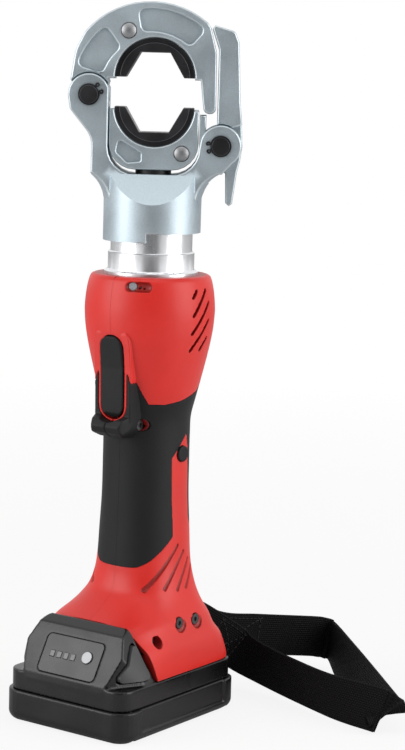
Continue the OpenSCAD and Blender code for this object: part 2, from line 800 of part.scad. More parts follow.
module motor_can() {
  color("silver") in_handle() difference() {
    post_round(0, drive_back, motor_r, can_z, case_z);
    post_round(0, drive_back, motor_r - can_wall, can_z + can_end, case_z - can_end);
    post_round(0, drive_back, shaft_r + fit, can_z - over, case_z + over);
  }
}

module motor_shaft() {
  color("silver") in_handle() {
    post_round(0, drive_back, shaft_r, can_z - shaft_tip, case_z + case_wall + pinion_h);
    post_round(0, drive_back, rotor_r, can_z + can_end + rotor_gap, case_z - can_end - rotor_gap);
    post_round(0, drive_back, pinion_r, case_z + gap, case_z + case_wall + pinion_h);
  }
}

bladder_wall = 4;
bladder_h = 21;
module oil_bladder() {
  color("black") difference() {
    post_round(0, 0, tube_r + bladder_wall, tube_z + gap, tube_z + gap + bladder_h);
    post_round(0, 0, tube_r + fit, tube_z - over, tube_z + bladder_h + 2 * over);
  }
}

// Foot of the housing: battery channel, floor and terminals
channel_half = 24.8;
channel_h = 11.5;
channel_back = 17;
floor_t = 3;
channel_top = foot_z + channel_h;
floor_z = channel_top + floor_t;
rib_w = 2.4;
rib_h = 2;
rib_rise = 3.2;
rib_z = foot_z + rib_rise;
slope_low = 39.5;
slope_high = 48.9;
slope_h = 30.5;
slope_up = 1.5 * slope_h;
blade_xs = [-15, -5, 5, 15];
blade_t = 0.8;
blade_back = 12;
blade_l = 9;
blade_h = 8;
block_half = 18;
block_l = 13;
block_lip = 2;
block_over = 1.6;
board_half = 16;
board_back = 10;
board_t = 1.6;
board_gap = 8;
board_h = can_z - floor_z - block_lip - board_gap;

module terminal_block() {
  color("darkgreen") in_handle() {
    translate([-block_half, blade_back - blade_l - block_lip, channel_top + fit])
      cube([2 * block_half, block_l, floor_t]);
    translate([-block_half - block_over, blade_back - blade_l - block_lip - block_over, floor_z])
      cube([2 * (block_half + block_over), block_l + 2 * block_over, block_lip]);
    for (x = blade_xs)
      translate([x - blade_t / 2, blade_back - blade_l, channel_top - blade_h])
        cube([blade_t, blade_l, blade_h + floor_t]);
  }
}

module control_board() {
  color("darkgreen") in_handle() translate([-board_half, board_back, floor_z + block_lip])
    cube([2 * board_half, board_t, board_h]);
}

// Housing form: rows of [height, front, back, half width, roundness]
foot_rise = 60;
trigger_rise = handle_h - trigger_drop;
trigger_z = foot_z + trigger_rise;
body_rise = 70;
grip_rise = handle_h - foot_rise - body_rise;
loft_sides = 36;
loft_steps = 2;
body_power = 2.08;
foot_shares = [[0, 1, 1, 1, 8], [0.07, 1, 0.99, 0.993, 8], [0.235, 0.968, 0.944, 0.957, 6],
  [0.335, 0.935, 0.913, 0.909, 4], [0.45, 0.855, 0.879, 0.861, 3.3], [0.527, 0.719, 0.861, 0.801, 2.9],
  [0.6, 0.6, 0.839, 0.744, 2.7], [0.7, 0.481, 0.82, 0.689, 2.5], [0.835, 0.434, 0.799, 0.639, 2.35],
  [1, 0.423, 0.79, 0.605, 2.25]];
grip_shares = [[0.167, 1.058, 1.033, 1.021, 2.2], [0.389, 1.033, 1.008, 0.983, 2.15],
  [0.611, 1.029, 1.004, 0.975, 2.15], [0.778, 1.029, 1.004, 0.975, 2.15], [0.889, 1.041, 1.021, 1, 2.1]];
body_shares = [[0, 0.738], [0.143, 0.807], [0.286, 0.873], [0.429, 0.934], [0.571, 0.981], [0.714, 1],
  [0.829, 0.985], [0.914, 0.959], [0.966, 0.931], [0.99, 0.906], [1, 0.865]];
handle_rows = concat(
  [for (s = foot_shares) [foot_z + s[0] * foot_rise, s[1] * foot_front, s[2] * foot_back,
    s[3] * foot_w / 2, s[4]]],
  [for (s = grip_shares) [foot_z + foot_rise + s[0] * grip_rise, s[1] * grip_r, s[2] * grip_r,
    s[3] * grip_r, s[4]]],
  [for (s = body_shares) [top_z - body_rise + s[0] * body_rise, s[1] * body_r, s[1] * body_r,
    s[1] * body_r, body_power]]);
function mix(a, b, c, d, t) =
  (2 * b + (c - a) * t + (2 * a - 5 * b + 4 * c - d) * t * t + (3 * b - a - 3 * c + d) * t * t * t) / 2;
function refined(rows) = let (m = len(rows) - 1) concat(
  [for (i = [0:m - 1]) for (k = [0:loft_steps - 1])
    mix(rows[max(i - 1, 0)], rows[i], rows[i + 1], rows[min(i + 2, m)], k / loft_steps)], [rows[m]]);
function power(v, n) = sign(v) * pow(abs(v), 2 / n);
function ring(row, w) = [for (k = [0:loft_sides - 1]) let (a = 360 * k / loft_sides, s = sin(a))
  [(row[3] - w) * power(cos(a), row[4]), (s < 0 ? row[1] - w : row[2] - w) * power(s, row[4]), row[0]]];
module handle_loft(w) {
  skin_solid([for (row = refined(handle_rows)) ring(row, w)]);
}
roof_t = 3.9;
module handle_cavity() {
  intersection() {
    skin_solid([for (row = handle_rows) ring(row, wall)]);
    translate([-foot_w, -foot_w, floor_z]) cube([2 * foot_w, 2 * foot_w, top_z - roof_t - floor_z]);
  }
}

// Soft grip zone in side view, as shares of the body radius forward and of the way from foot to trigger
zone_shares = [[1.25, -0.0425], [0.66, -0.029], [0.54, 0.0142], [0.18, 0.1681], [0.207, 0.7134],
  [-0.193, 0.8915], [-0.29, 0.7377], [-0.331, 0.2707], [-0.552, 0.1546],
  [-1.25, 0.1006], [-1.25, 1.3396], [-0.608, 1.2344], [-0.276, 1.1534],
  [0.11, 1.1026], [0.387, 1.0805], [1.25, 1.0886]];
function grip_height(share) = foot_rise + share * (trigger_rise - foot_rise);
zone_outline = [for (s = zone_shares) [-s[0] * body_r, foot_z + grip_height(s[1])]];
brush_r = 1;
brush_sides = 12;
hole_sides = 24;
rim_half = 9.7;
rim_z = trigger_z - 2.1 * brush_r;
fin_half = 16;
fin_shares = [0.6, 0.19, -0.03];
boss_half = 12.5;
boss_top_r = 9;
boss_over = 4.8;
horn_half = 12.5;
horn_round = 9;

module grip_zone() {
  n = len(zone_outline);
  difference() {
    union() {
      rotate([90, 0, 90]) linear_extrude(2 * foot_w, center = true) {
        polygon(zone_outline);
        for (i = [0:n - 1]) hull() {
          translate(zone_outline[i]) circle(brush_r, $fn = brush_sides);
          translate(zone_outline[(i + 1) % n]) circle(brush_r, $fn = brush_sides);
        }
      }
      for (side = [-1, 1])
        front_prism([[side * rim_half, trigger_z + fin_shares[0] * trigger_h],
          [side * fin_half, trigger_z + fin_shares[1] * trigger_h],
          [side * fin_half, trigger_z + fin_shares[2] * trigger_h],
          [side * rim_half, trigger_z + fin_shares[2] * trigger_h]], grip_r / 2, 2 * grip_r);
    }
    translate([0, 0, rim_z]) front_prism(rounded([[-rim_half, 0, rim_half - gap],
      [rim_half, 0, rim_half - gap],
      [rim_half, 2 * trigger_h, 0], [-rim_half, 2 * trigger_h, 0]]), grip_r / 2, 2 * grip_r);
  }
}

// Raised rim round the trigger, and the guard below it, as shares of reach and trigger height
rim_shares = [[0.89, -0.12], [0.915, 0.06], [0.93, 0.58], [0.994, 1.03], [0.94, 1.1]];
horn_shares = [[0.5, -0.25], [0.73, -0.26], [0.93, -0.235], [1.07, -0.17], [1.12, -0.1], [1.045, -0.01],
  [0.5, 0.14]];
horn_plan_shares = [[1, 0.3], [1, 0.85], [0.78, 1.14]];
module trigger_boss() {
  z = trigger_z;
  intersection() {
    side_prism(concat([for (s = rim_shares) [s[0] * trigger_reach, z + s[1] * trigger_h]],
      [[grip_r / 2, z + rim_shares[4][1] * trigger_h], [grip_r / 2, z + rim_shares[0][1] * trigger_h]]),
      2 * boss_half + over);
    translate([0, 0, z - boss_over]) front_prism(rounded([[-boss_half, 0, boss_top_r / 2],
      [boss_half, 0, boss_top_r / 2], [boss_half, trigger_h + 2 * boss_over, boss_top_r],
      [-boss_half, trigger_h + 2 * boss_over, boss_top_r]]), 0, 2 * grip_r);
  }
}

module guard_horn() {
  z = trigger_z;
  plan = [for (s = horn_plan_shares) [s[0] * horn_half, s[1] * trigger_reach]];
  intersection() {
    side_prism(rounded([for (i = [0:len(horn_shares) - 1]) let (s = horn_shares[i])
      [s[0] * trigger_reach, z + s[1] * trigger_h, i > 0 && i < len(horn_shares) - 1 ? 2 * brush_r : 0]]),
      2 * horn_half + over);
    plan_prism(rounded([[-plan[0][0], plan[0][1], 0], [-plan[1][0], plan[1][1], horn_half / 2],
      [-plan[2][0], plan[2][1], horn_half / 3], [plan[2][0], plan[2][1], horn_half / 3],
      [plan[1][0], plan[1][1], horn_half / 2], [plan[0][0], plan[0][1], 0]]),
      z - trigger_h / 2, z + trigger_h / 2);
    translate([0, 0, z + horn_shares[1][1] * trigger_h]) front_prism(rounded([[-horn_half, 0, horn_round],
      [horn_half, 0, horn_round], [horn_half, trigger_h, 0], [-horn_half, trigger_h, 0]]),
      0, 2 * trigger_reach);
  }
}

pocket_half = trigger_w / 2 + gap;
pocket_low = trigger_z - over;
pocket_top = trigger_z + trigger_h + gap;
cheek_w = 3.3;
cheek_from = motor_r - drive_back + gap;
module trigger_pocket() {
  h = pocket_top - pocket_low;
  r = trigger_end_r + gap;
  translate([0, 0, pocket_low]) front_prism(rounded([[-pocket_half, 0, r], [pocket_half, 0, r],
    [pocket_half, h, r], [-pocket_half, h, r]]), cheek_from - over, 2 * grip_r);
}

// Screws: forward, height, seat of the head, tip
screw_head_r = 3;
screw_head_h = 2;
screw_r = 1.5;
screw_post_r = 4.4;
foot_screw_seat = 33.2;
dish_r = 5.2;
dish_seat = 35.2;
front_screw_seat = 30;
grip_screw_seat = 9.4;
grip_screw_drop = 4.2;
screw_spots = [[12.1, 26.7, foot_screw_seat], [-2.9, 26.2, foot_screw_seat], [34, 20.1, front_screw_seat],
  [21.6, trigger_rise - grip_screw_drop, grip_screw_seat]];
module screw_holes() {
  for (s = screw_spots) {
    side_round(s[0], foot_z + s[1], screw_r + fit, -s[2], s[2] + over);
    side_round(s[0], foot_z + s[1], screw_head_r + gap, s[2], foot_w);
    if (s[2] == foot_screw_seat) side_round(s[0], foot_z + s[1], dish_r, dish_seat, foot_w);
  }
}

module housing_screws() {
  color("dimgray") in_handle() for (s = screw_spots) {
    side_round(s[0], foot_z + s[1], screw_r, -s[2] + gap, s[2] + screw_head_h / 2);
    difference() {
      side_round(s[0], foot_z + s[1], screw_head_r, s[2], s[2] + screw_head_h);
      translate([s[2] + screw_head_h / 2, -s[0], foot_z + s[1]]) rotate([0, 90, 0])
        cylinder(r = screw_r, h = screw_head_h, $fn = 6);
    }
  }
}

// Strap anchor
anchor_back = 25.5;
anchor_r = 2;
anchor_low = 1.2;
anchor_half = 6;
anchor_wall = 2.4;
anchor_in = 4.8;
anchor_room = 2.2;
anchor_rise = strap_w + anchor_room;
anchor_z = foot_z + anchor_low;

module strap_pin() {
  color("silver") in_handle()
    post_round(0, anchor_back, anchor_r, foot_z, anchor_z + anchor_rise + anchor_wall);
}

// Side button, light, vents and grooves
key_fwd = -2;
key_share = 0.7325;
key_rise = grip_height(key_share);
key_in = 19.8;
key_out = 24.9;
side_flange = 1.5;
side_flange_t = 1.5;
led_turn = 26;
led_drop = 4.8;
led_rise = handle_h - led_drop;
led_half = 5;
led_recess_r = 3;
led_r = 2.3;
led_side = -3.6;
led_share = 0.955;
led_len = 4;
vent_r = 1.1;
vent_pitch = 10;
vent_slope = 1.2;
vent_drop = 23.1;
vent_mid = handle_h - vent_drop;
vent_back = -7.5;
vent_front = 6.5;
vent_below = 17.3;
vent_above = 15.7;
vent_low = vent_mid - vent_below;
vent_high = vent_mid + vent_above;
groove_r = 1.1;
groove_depth = 1.3;
groove_lines = [[[23.5, 44.2], [1.5, 67.7]], [[13.8, 44.5], [-4, 63.6]], [[5, 43.2], [-9.1, 58.6]],
  [[-2.8, 43.4], [-12.9, 53.8]]];

function vent_ends(i) =
  let (mid = vent_mid + i * vent_pitch,
    back = max(vent_back, (mid - vent_high) / vent_slope),
    front = min(vent_front, (mid - vent_low) / vent_slope))
  [[back, mid - vent_slope * back], [front, mid - vent_slope * front]];

module slot_across(ends, r, from, to) {
  hull() for (e = ends) side_round(e[0], foot_z + e[1], r, from, to, $fn = brush_sides);
}

module housing_cuts() {
  post_round(0, 0, tube_r + fit, top_z - 2 * roof_t, top_z + over, $fn = 64);
  side_prism([[slope_low - over * (slope_high - slope_low) / slope_h, foot_z - over],
    [2 * foot_front, foot_z - over], [2 * foot_front, foot_z + slope_up],
    [slope_low + (slope_high - slope_low) * slope_up / slope_h, foot_z + slope_up]], 2 * foot_w);
  difference() {
    translate([-channel_half, -foot_front, foot_z - over])
      cube([2 * channel_half, foot_front + channel_back, channel_h + over]);
    for (side = [-1, 1])
      translate([side > 0 ? channel_half - rib_w : -channel_half, -foot_front, rib_z])
        cube([rib_w, foot_front + channel_back, rib_h]);
  }
  translate([-block_half - fit, blade_back - blade_l - block_lip - fit, channel_top - over])
    cube([2 * (block_half + fit), block_l + 2 * fit, floor_t + 2 * over]);
  trigger_pocket();
  side_round(pivot_fwd, pivot_z, pivot_r + fit, -pocket_half - cheek_w + over,
    pocket_half + cheek_w - over);
  screw_holes();
  translate([-anchor_half, anchor_back - anchor_in, anchor_z])
    cube([2 * anchor_half, foot_back, anchor_rise]);
  post_round(0, anchor_back, anchor_r + fit, foot_z - over, anchor_z + anchor_rise + anchor_wall + gap);
  side_round(key_fwd, foot_z + key_rise, button_r + fit, motor_r, 2 * grip_r);
  side_round(key_fwd, foot_z + key_rise, button_r + side_flange + gap, motor_r,
    key_in + fit);
  rotate([0, 0, led_turn]) translate([0, -led_share * body_r, foot_z + led_rise]) {
    hull() for (x = [-led_half, led_half]) translate([x, 0, 0]) sphere(led_recess_r, $fn = brush_sides);
    translate([led_side, 0, 0]) rotate([90, 0, 0])
      cylinder(r = led_r + fit, h = 4 * led_len, center = true);
  }
  for (side = [-1, 1]) for (i = [-2:2])
    slot_across(vent_ends(i), vent_r, side > 0 ? grip_r : -2 * grip_r, side > 0 ? 2 * grip_r : -grip_r);
  difference() {
    for (line = groove_lines) slot_across(line, groove_r, -foot_w, foot_w);
    handle_loft(groove_depth);
  }
}

module housing_inside() {
  intersection() {
    handle_loft(skin);
    union() {
      for (c = [[cheek_from, pump_z - cheek_w], [pump_r + over, pocket_top + cheek_w]])
        translate([-pocket_half - cheek_w, -grip_r - boss_over, pocket_low - cheek_w])
          cube([2 * (pocket_half + cheek_w), grip_r + boss_over - c[0], c[1] - pocket_low + cheek_w]);
      for (s = screw_spots) if (s[2] != grip_screw_seat)
        side_round(s[0], foot_z + s[1], screw_post_r, -foot_w, foot_w);
      translate([-anchor_half - anchor_wall, anchor_back - anchor_in - anchor_wall, foot_z])
        cube([2 * (anchor_half + anchor_wall), foot_back, anchor_low + anchor_rise + 2 * anchor_wall]);
    }
  }
}

module on_side(side) {
  intersection() {
    children();
    translate([side > 0 ? fit : -foot_w - fit, -2 * foot_w, 0]) cube([foot_w, 4 * foot_w, crown_z]);
  }
}

module housing_half(side) {
  $fn = hole_sides;
  color("crimson") in_handle() on_side(side) difference() {
    union() {
      difference() {
        union() {
          difference() {
            union() {
              handle_loft(0);
              trigger_boss();
            }
            grip_zone();
          }
          handle_loft(skin);
        }
        handle_cavity();
      }
      housing_inside();
    }
    housing_cuts();
  }
}

module housing_left() {
  housing_half(-1);
}

module housing_right() {
  housing_half(1);
}

module grip_half(side) {
  $fn = hole_sides;
  color("darkslategray") in_handle() on_side(side) difference() {
    intersection() {
      union() {
        handle_loft(0);
        trigger_boss();
        guard_horn();
      }
      grip_zone();
    }
    handle_loft(skin);
    trigger_pocket();
    screw_holes();
    side_round(key_fwd, foot_z + key_rise, button_r + fit, motor_r, 2 * grip_r);
  }
}

module grip_left() {
  grip_half(-1);
}

module grip_right() {
  grip_half(1);
}

// Trigger, its pin, spring and switch
pivot_fwd = 27;
pivot_drop = 5.5;
pivot_z = trigger_z + trigger_h - pivot_drop;
pivot_r = 1.6;
trigger_round = 3;
trigger_end_r = 7.3;
rear_shares = [0.66, 0.62];
face_shares = [[0.938, 0.06], [0.96, 0.6], [1.022, 0.98]];
switch_from = 12.4;
switch_to = 19.4;
switch_rise = 7.4;
switch_h = 22;
plunger_tip = 1.8;
plunger_rise = 16;
trigger_wire_r = 0.45;
trigger_coil_r = 2.5;
trigger_turns = 5;
trigger_coil_l = 6;
trigger_well_r = 3.6;
trigger_well = 28.5;
trigger_coil_rise = 12.6;
trigger_coil_z = trigger_z + trigger_coil_rise;

module trigger() {
  z = trigger_z;
  color("crimson") in_handle() difference() {
    intersection() {
      side_prism(concat([[rear_shares[1] * trigger_reach, z],
        [face_shares[0][0] * trigger_reach - trigger_round / 2, z]],
        [for (s = face_shares) [s[0] * trigger_reach, z + s[1] * trigger_h]],
        [[face_shares[2][0] * trigger_reach - trigger_round / 2, z + trigger_h],
        [rear_shares[0] * trigger_reach, z + trigger_h]]), trigger_w + over);
      plan_prism(rounded([[-trigger_w / 2, switch_from, 0],
        [-trigger_w / 2, trigger_reach + over, trigger_round],
        [trigger_w / 2, trigger_reach + over, trigger_round], [trigger_w / 2, switch_from, 0]]),
        z - over, z + trigger_h + over);
      translate([0, 0, z]) front_prism(rounded([[-trigger_w / 2, 0, trigger_end_r],
        [trigger_w / 2, 0, trigger_end_r],
        [trigger_w / 2, trigger_h, trigger_end_r], [-trigger_w / 2, trigger_h, trigger_end_r]]),
        switch_from, 2 * trigger_reach);
    }
    side_round(pivot_fwd, pivot_z, pivot_r + fit, -trigger_w, trigger_w);
    translate([0, -trigger_well, trigger_coil_z]) rotate([-90, 0, 0])
      cylinder(r = trigger_well_r, h = trigger_well);
  }
}

module trigger_pin() {
  reach = pocket_half + cheek_w - over - fit;
  color("silver") in_handle() side_round(pivot_fwd, pivot_z, pivot_r, -reach, reach);
}

module trigger_spring() {
  color("gray") in_handle() translate([0, -switch_to - fit, trigger_coil_z]) rotate([90, 0, 0])
    coil(trigger_coil_r, trigger_wire_r, trigger_turns, trigger_coil_l, "trigger spring");
}

module trigger_switch() {
  z = trigger_z + switch_rise;
  half = pocket_half - fit;
  color("black") in_handle() {
    translate([-half, -switch_to, z]) cube([2 * half, switch_to - switch_from, switch_h]);
    translate([0, -switch_to, z + plunger_rise]) rotate([90, 0, 0])
      cylinder(r = plunger_tip, h = plunger_tip);
  }
}

module side_button() {
  z = foot_z + key_rise;
  color("dimgray") in_handle() {
    side_round(key_fwd, z, button_r, key_in - side_flange_t, key_out);
    side_round(key_fwd, z, button_r + side_flange, key_in - side_flange_t, key_in);
  }
}

module led_lens() {
  color("white") in_handle() rotate([0, 0, led_turn])
    translate([led_side, -led_share * body_r + led_recess_r - gap, foot_z + led_rise]) rotate([-90, 0, 0])
      cylinder(r = led_r, h = led_len);
}

// Battery pack: shoe, cover with rail and hump
pack_front = pack_fwd + pack_l / 2;
pack_back = pack_fwd - pack_l / 2;
pack_corner = 12;
pack_edge = 5.5;
shoe_wall = 8;
shoe_end = 5.4;
shoe_floor = 2.2;
plate_in = 2.5;
plate_end = 1.8;
cover_wall = 3.6;
cover_roof = 2.5;
panel_depth = 1.2;
panel_low = 5;
panel_from = -22;
panel_to = 56;
hump_wall = 2.4;
hump_top = plate_z + hump_h;
hump_round = 5;
// Hump outlines as shares of the slope's reach and of the hump's height
nose_shares = [[0.79, 0.885], [0.825, 0.75], [0.995, 0.05], [1, 0]];
hump_width_shares = [0.92, 0.64, 0.66];
hump_reach = 71;
hump_in_shares = [0.4, 0.9, 1.15, 1.2];

function hump_side(w) =
  let (lean = (slope_high - slope_low) / slope_h, back = slope_low + gap + w)
  [[back - lean * (cover_roof + over), plate_z - cover_roof - over],
  [back + lean * (hump_h - 1.5 * w), hump_top - 1.5 * w],
  [nose_shares[0][0] * hump_reach - hump_in_shares[0] * w,
    plate_z + nose_shares[0][1] * hump_h - w],
  [nose_shares[1][0] * hump_reach - hump_in_shares[1] * w,
    plate_z + nose_shares[1][1] * hump_h - w / 2],
  [nose_shares[2][0] * hump_reach - hump_in_shares[2] * w,
    plate_z + nose_shares[2][1] * hump_h],
  [hump_reach - hump_in_shares[3] * w, plate_z - cover_roof - over]];

module hump_form(w) {
  low = hump_width_shares[0] * pack_w / 2 - w;
  high = hump_width_shares[1] * pack_w / 2 - w;
  nose = hump_width_shares[2] * pack_w / 2 - w;
  round_r = hump_round;
  intersection() {
    side_prism(hump_side(w), pack_w);
    front_prism(rounded([[-low, plate_z - cover_roof - over, 0], [low, plate_z - cover_roof - over, 0],
      [low, plate_z, 0], [high, hump_top - w, round_r], [-high, hump_top - w, round_r],
      [-low, plate_z, 0]]),
      slope_low - hump_round, 2 * hump_reach);
    plan_prism(rounded([[-low, slope_low - hump_round, 0], [-low, slope_high, 0],
      [-nose, hump_reach - w, round_r], [nose, hump_reach - w, round_r], [low, slope_high, 0],
      [low, slope_low - hump_round, 0]]), plate_z - 2 * hump_h, plate_z + 2 * hump_h);
  }
}

module pack_block(side_in, end_in, z0, z1, r) {
  half = pack_w / 2 - side_in;
  plan_prism(rounded([[-half, pack_back + end_in, r], [half, pack_back + end_in, r],
    [half, pack_front - end_in, r], [-half, pack_front - end_in, r]]), z0, z1);
}

bolt_side = 4.7;
bolt_x = pack_w / 2 - bolt_side;
bolt_in = 11;
bolt_r = 1.2;
bolt_head = 2.6;
bolt_sunk = 1;
bolt_top = plate_z - 2 * bolt_sunk;
module at_pack_screws() {
  for (x = [-bolt_x, bolt_x]) for (f = [pack_back + bolt_in, pack_front - bolt_in])
    translate([x, -f, 0]) children();
}

module battery_shoe() {
  half = pack_w / 2;
  color("dimgray") in_handle() difference() {
    intersection() {
      pack_block(0, 0, 0, shoe_h, pack_corner);
      side_prism(rounded([[pack_back, 0, pack_edge], [pack_front, 0, pack_edge], [pack_front, shoe_h, 0],
        [pack_back, shoe_h, 0]]), pack_w + over);
      front_prism(rounded([[-half, 0, pack_edge], [half, 0, pack_edge], [half, shoe_h, 0],
        [-half, shoe_h, 0]]), pack_back - over, pack_front + over);
    }
    pack_block(shoe_wall, shoe_end, shoe_floor, shoe_h + over, pack_edge);
    for (side = [-1, 1])
      translate([side > 0 ? half - panel_depth : -half - over, -panel_to, panel_low])
        cube([panel_depth + over, panel_to - panel_from, shoe_h]);
    at_pack_screws() {
      cylinder(r = bolt_r + fit, h = shoe_h + over);
      translate([0, 0, -over])
        cylinder(r = bolt_head + fit, h = over + 2 * bolt_sunk + shoe_floor);
    }
  }
}

module battery_screws() {
  seat = 2 * bolt_sunk + shoe_floor - bolt_sunk;
  color("silver") in_handle() at_pack_screws() {
    translate([0, 0, seat - bolt_sunk]) cylinder(r = bolt_head, h = 2 * bolt_sunk);
    translate([0, 0, seat]) cylinder(r = bolt_r, h = bolt_top - seat);
  }
}

// Rail on the cover and slots for the terminals
rail_half = 24;
rail_front = 38;
rail_back = 16;
rail_h = 10.5;
rail_groove = 2.3;
rail_groove_h = 3;
rail_slot_w = 3.4;
rail_slot_to = 1;

// Charge gauge on the front slope of the hump
gauge_w = 40;
gauge_l = 22.4;
gauge_t = 1.2;
gauge_r = 3;
gauge_fwd = (nose_shares[1][0] + nose_shares[2][0]) / 2 * hump_reach;
gauge_z = plate_z + (nose_shares[1][1] + nose_shares[2][1]) / 2 * hump_h;
gauge_turn = atan2((nose_shares[1][1] - nose_shares[2][1]) * hump_h,
  (nose_shares[2][0] - nose_shares[1][0]) * hump_reach);
light_xs = [-13, -8.2, -3.4, 1.4];
light_w = 3;
light_h = 3.4;
light_proud = 0.3;
knob_x = 11;
knob_up = 1.5;
knob_r = 3.4;
knob_proud = 0.9;
knob_l = 4.5;

module on_gauge() {
  translate([0, -gauge_fwd, gauge_z]) rotate([gauge_turn, 0, 0]) children();
}

module gauge_plate(w, l, r, z0, z1) {
  translate([0, 0, z0]) linear_extrude(z1 - z0) polygon(box2(w, l, r));
}

module gauge_lights_form(more, z0, z1) {
  for (x = light_xs) translate([x, 0, z0])
    translate([-light_w / 2 - more, -light_h / 2 - more, 0])
      cube([light_w + 2 * more, light_h + 2 * more, z1 - z0]);
}

// Release buttons on the sides of the hump, in side view as shares of reach and hump height
release_shares = [[0.615, 0.1], [0.94, 0.1], [0.7, 0.8]];
release_round = 2.4;
release_proud = 1;
release_t = 1.8;
release_travel = 3;
release_fwd = 53;
release_rise = 11;
stem_r = 4.2;
stem_hole_r = 3;
stem_in = 23;
stem_mid = 29.4;
rib_in = 13;
rib_out = 15;
rib_back = 45.2;
release_wire_r = 0.4;
release_turns = 6;
function release_outline(more) =
  let (c = [(release_shares[0][0] + release_shares[1][0] + release_shares[2][0]) / 3 * hump_reach,
    plate_z + (release_shares[0][1] + release_shares[1][1] + release_shares[2][1]) / 3 * hump_h])
  rounded([for (s = release_shares) let (p = [s[0] * hump_reach, plate_z + s[1] * hump_h],
    q = p + unit(p - c) * 2 * more) [q.x, q.y, release_round]]);

module battery_cover() {
  color("black") in_handle() difference() {
    union() {
      difference() {
        union() {
          pack_block(plate_in, plate_end, shoe_h, plate_z, pack_corner - plate_in);
          hump_form(0);
        }
        pack_block(plate_in + cover_wall + over, shoe_end, shoe_h - over, plate_z - cover_roof, pack_edge);
        hump_form(hump_wall);
      }
      translate([-rail_half, -rail_front, plate_z - over])
        cube([2 * rail_half, rail_front + rail_back, rail_h + over]);
      for (side = [-1, 1])
        translate([side > 0 ? rib_in : -rib_out, -release_fwd - stem_r, plate_z + over])
          cube([rib_out - rib_in, release_fwd + stem_r - rib_back, release_rise + stem_r - over]);
    }
    for (side = [-1, 1])
      translate([side > 0 ? rail_half - rail_groove : -rail_half - over, -rail_front - over,
        rib_z - (rail_groove_h - rib_h) / 2])
        cube([rail_groove + over, rail_front + rail_back + 2 * over, rail_groove_h]);
    for (x = blade_xs)
      translate([x - rail_slot_w / 2, -rail_slot_to, plate_z - cover_roof - over])
        cube([rail_slot_w, rail_back + rail_slot_to + over, rail_h + cover_roof + 2 * over]);
    on_gauge() {
      gauge_plate(gauge_w, gauge_l, gauge_r, -gauge_t, over);
      gauge_lights_form(gap, -hump_wall - 2 * over, over);
      translate([knob_x, knob_up, -2 * knob_l])
        cylinder(r = knob_r + fit, h = 3 * knob_l);
    }
    for (side = [-1, 1])
      translate([side * pack_w / 2, 0, 0]) side_prism(release_outline(gap), pack_w - 2 * stem_in);
    at_pack_screws() cylinder(r = bolt_r, h = bolt_top + gap);
  }
}

module gauge_window() {
  color("gray") in_handle() on_gauge() difference() {
    gauge_plate(gauge_w - gap, gauge_l - gap, gauge_r - gap / 2, -gauge_t, 0);
    gauge_lights_form(fit, -2 * gauge_t, over);
    translate([knob_x, knob_up, -2 * gauge_t])
      cylinder(r = knob_r + fit, h = 4 * gauge_t);
  }
}

module gauge_lights() {
  color("limegreen") in_handle() on_gauge() gauge_lights_form(0, -hump_wall, light_proud);
}

module gauge_button() {
  color("dimgray") in_handle() on_gauge()
    translate([knob_x, knob_up, knob_proud - knob_l])
    cylinder(r = knob_r, h = knob_l);
}

module release_button(side) {
  z = plate_z + release_rise;
  color("gray") in_handle() {
    difference() {
      intersection() {
        hump_form(-release_proud);
        translate([side * pack_w / 2, 0, 0]) side_prism(release_outline(0), pack_w - 2 * stem_mid);
      }
      hump_form(release_t);
    }
    difference() {
      intersection() {
        hump_form(0);
        side_round(release_fwd, z, stem_r, side > 0 ? stem_in : -pack_w, side > 0 ? pack_w : -stem_in);
      }
      side_round(release_fwd, z, stem_hole_r, side > 0 ? stem_in - over : -stem_mid,
        side > 0 ? stem_mid : over - stem_in);
    }
  }
}

module release_button_left() {
  release_button(-1);
}

module release_button_right() {
  release_button(1);
}

module release_springs() {
  l = stem_mid - release_travel - 2 * gap - rib_out;
  color("silver") in_handle() for (side = [-1, 1])
    translate([side * (rib_out + fit), -release_fwd, plate_z + release_rise]) rotate([0, side * 90, 0])
      coil((stem_hole_r + release_wire_r) / 2 + release_wire_r, release_wire_r, release_turns, l,
        "release spring");
}

// Cells, holder and board
cell_count = 5;
cell_pitch = (pack_l - 2 * shoe_end - cell_ends) / cell_count;
cell_r = (cell_pitch - cell_space) / 2;
cell_l = pack_w - 2 * shoe_wall - cell_sides;
cell_z = shoe_floor + cell_r + 2 * fit;
holder_in = 8.1;
holder_from = cell_l / 2 - holder_in;
holder_t = 5;
holder_edge = 2.6;
holder_top = cell_z + cell_r + holder_edge;
cap_share = 0.45;
cap_h = 0.7;
strip_t = 0.3;
strip_h = 8;
pcb_t = 1.6;
pcb_end = 12;
clip_t = 0.6;
clip_gap = 0.3;
clip_l = 9;
clip_h = 7;

module at_cells() {
  for (i = [-2:2]) translate([0, -pack_fwd - i * cell_pitch, cell_z]) rotate([0, 90, 0]) children();
}

module battery_cells() {
  color("steelblue") in_handle() at_cells() {
    cylinder(r = cell_r, h = cell_l - 2 * cap_h, center = true);
    cylinder(r = cap_share * cell_r, h = cell_l, center = true);
  }
}

module cell_holder() {
  reach = 2.5 * cell_pitch;
  color("dimgray") in_handle() difference() {
    for (side = [-1, 1])
      translate([side > 0 ? holder_from : -holder_from - holder_t, -pack_fwd - reach, shoe_floor])
        cube([holder_t, 2 * reach, holder_top - shoe_floor]);
    at_cells() cylinder(r = cell_r + fit, h = 2 * cell_l, center = true);
  }
}

module cell_straps() {
  reach = 2.3 * cell_pitch;
  color("silver") in_handle() for (side = [-1, 1])
    translate([side > 0 ? cell_l / 2 : -cell_l / 2 - strip_t, -pack_fwd - reach, cell_z - strip_h / 2])
      cube([strip_t, 2 * reach, strip_h]);
}

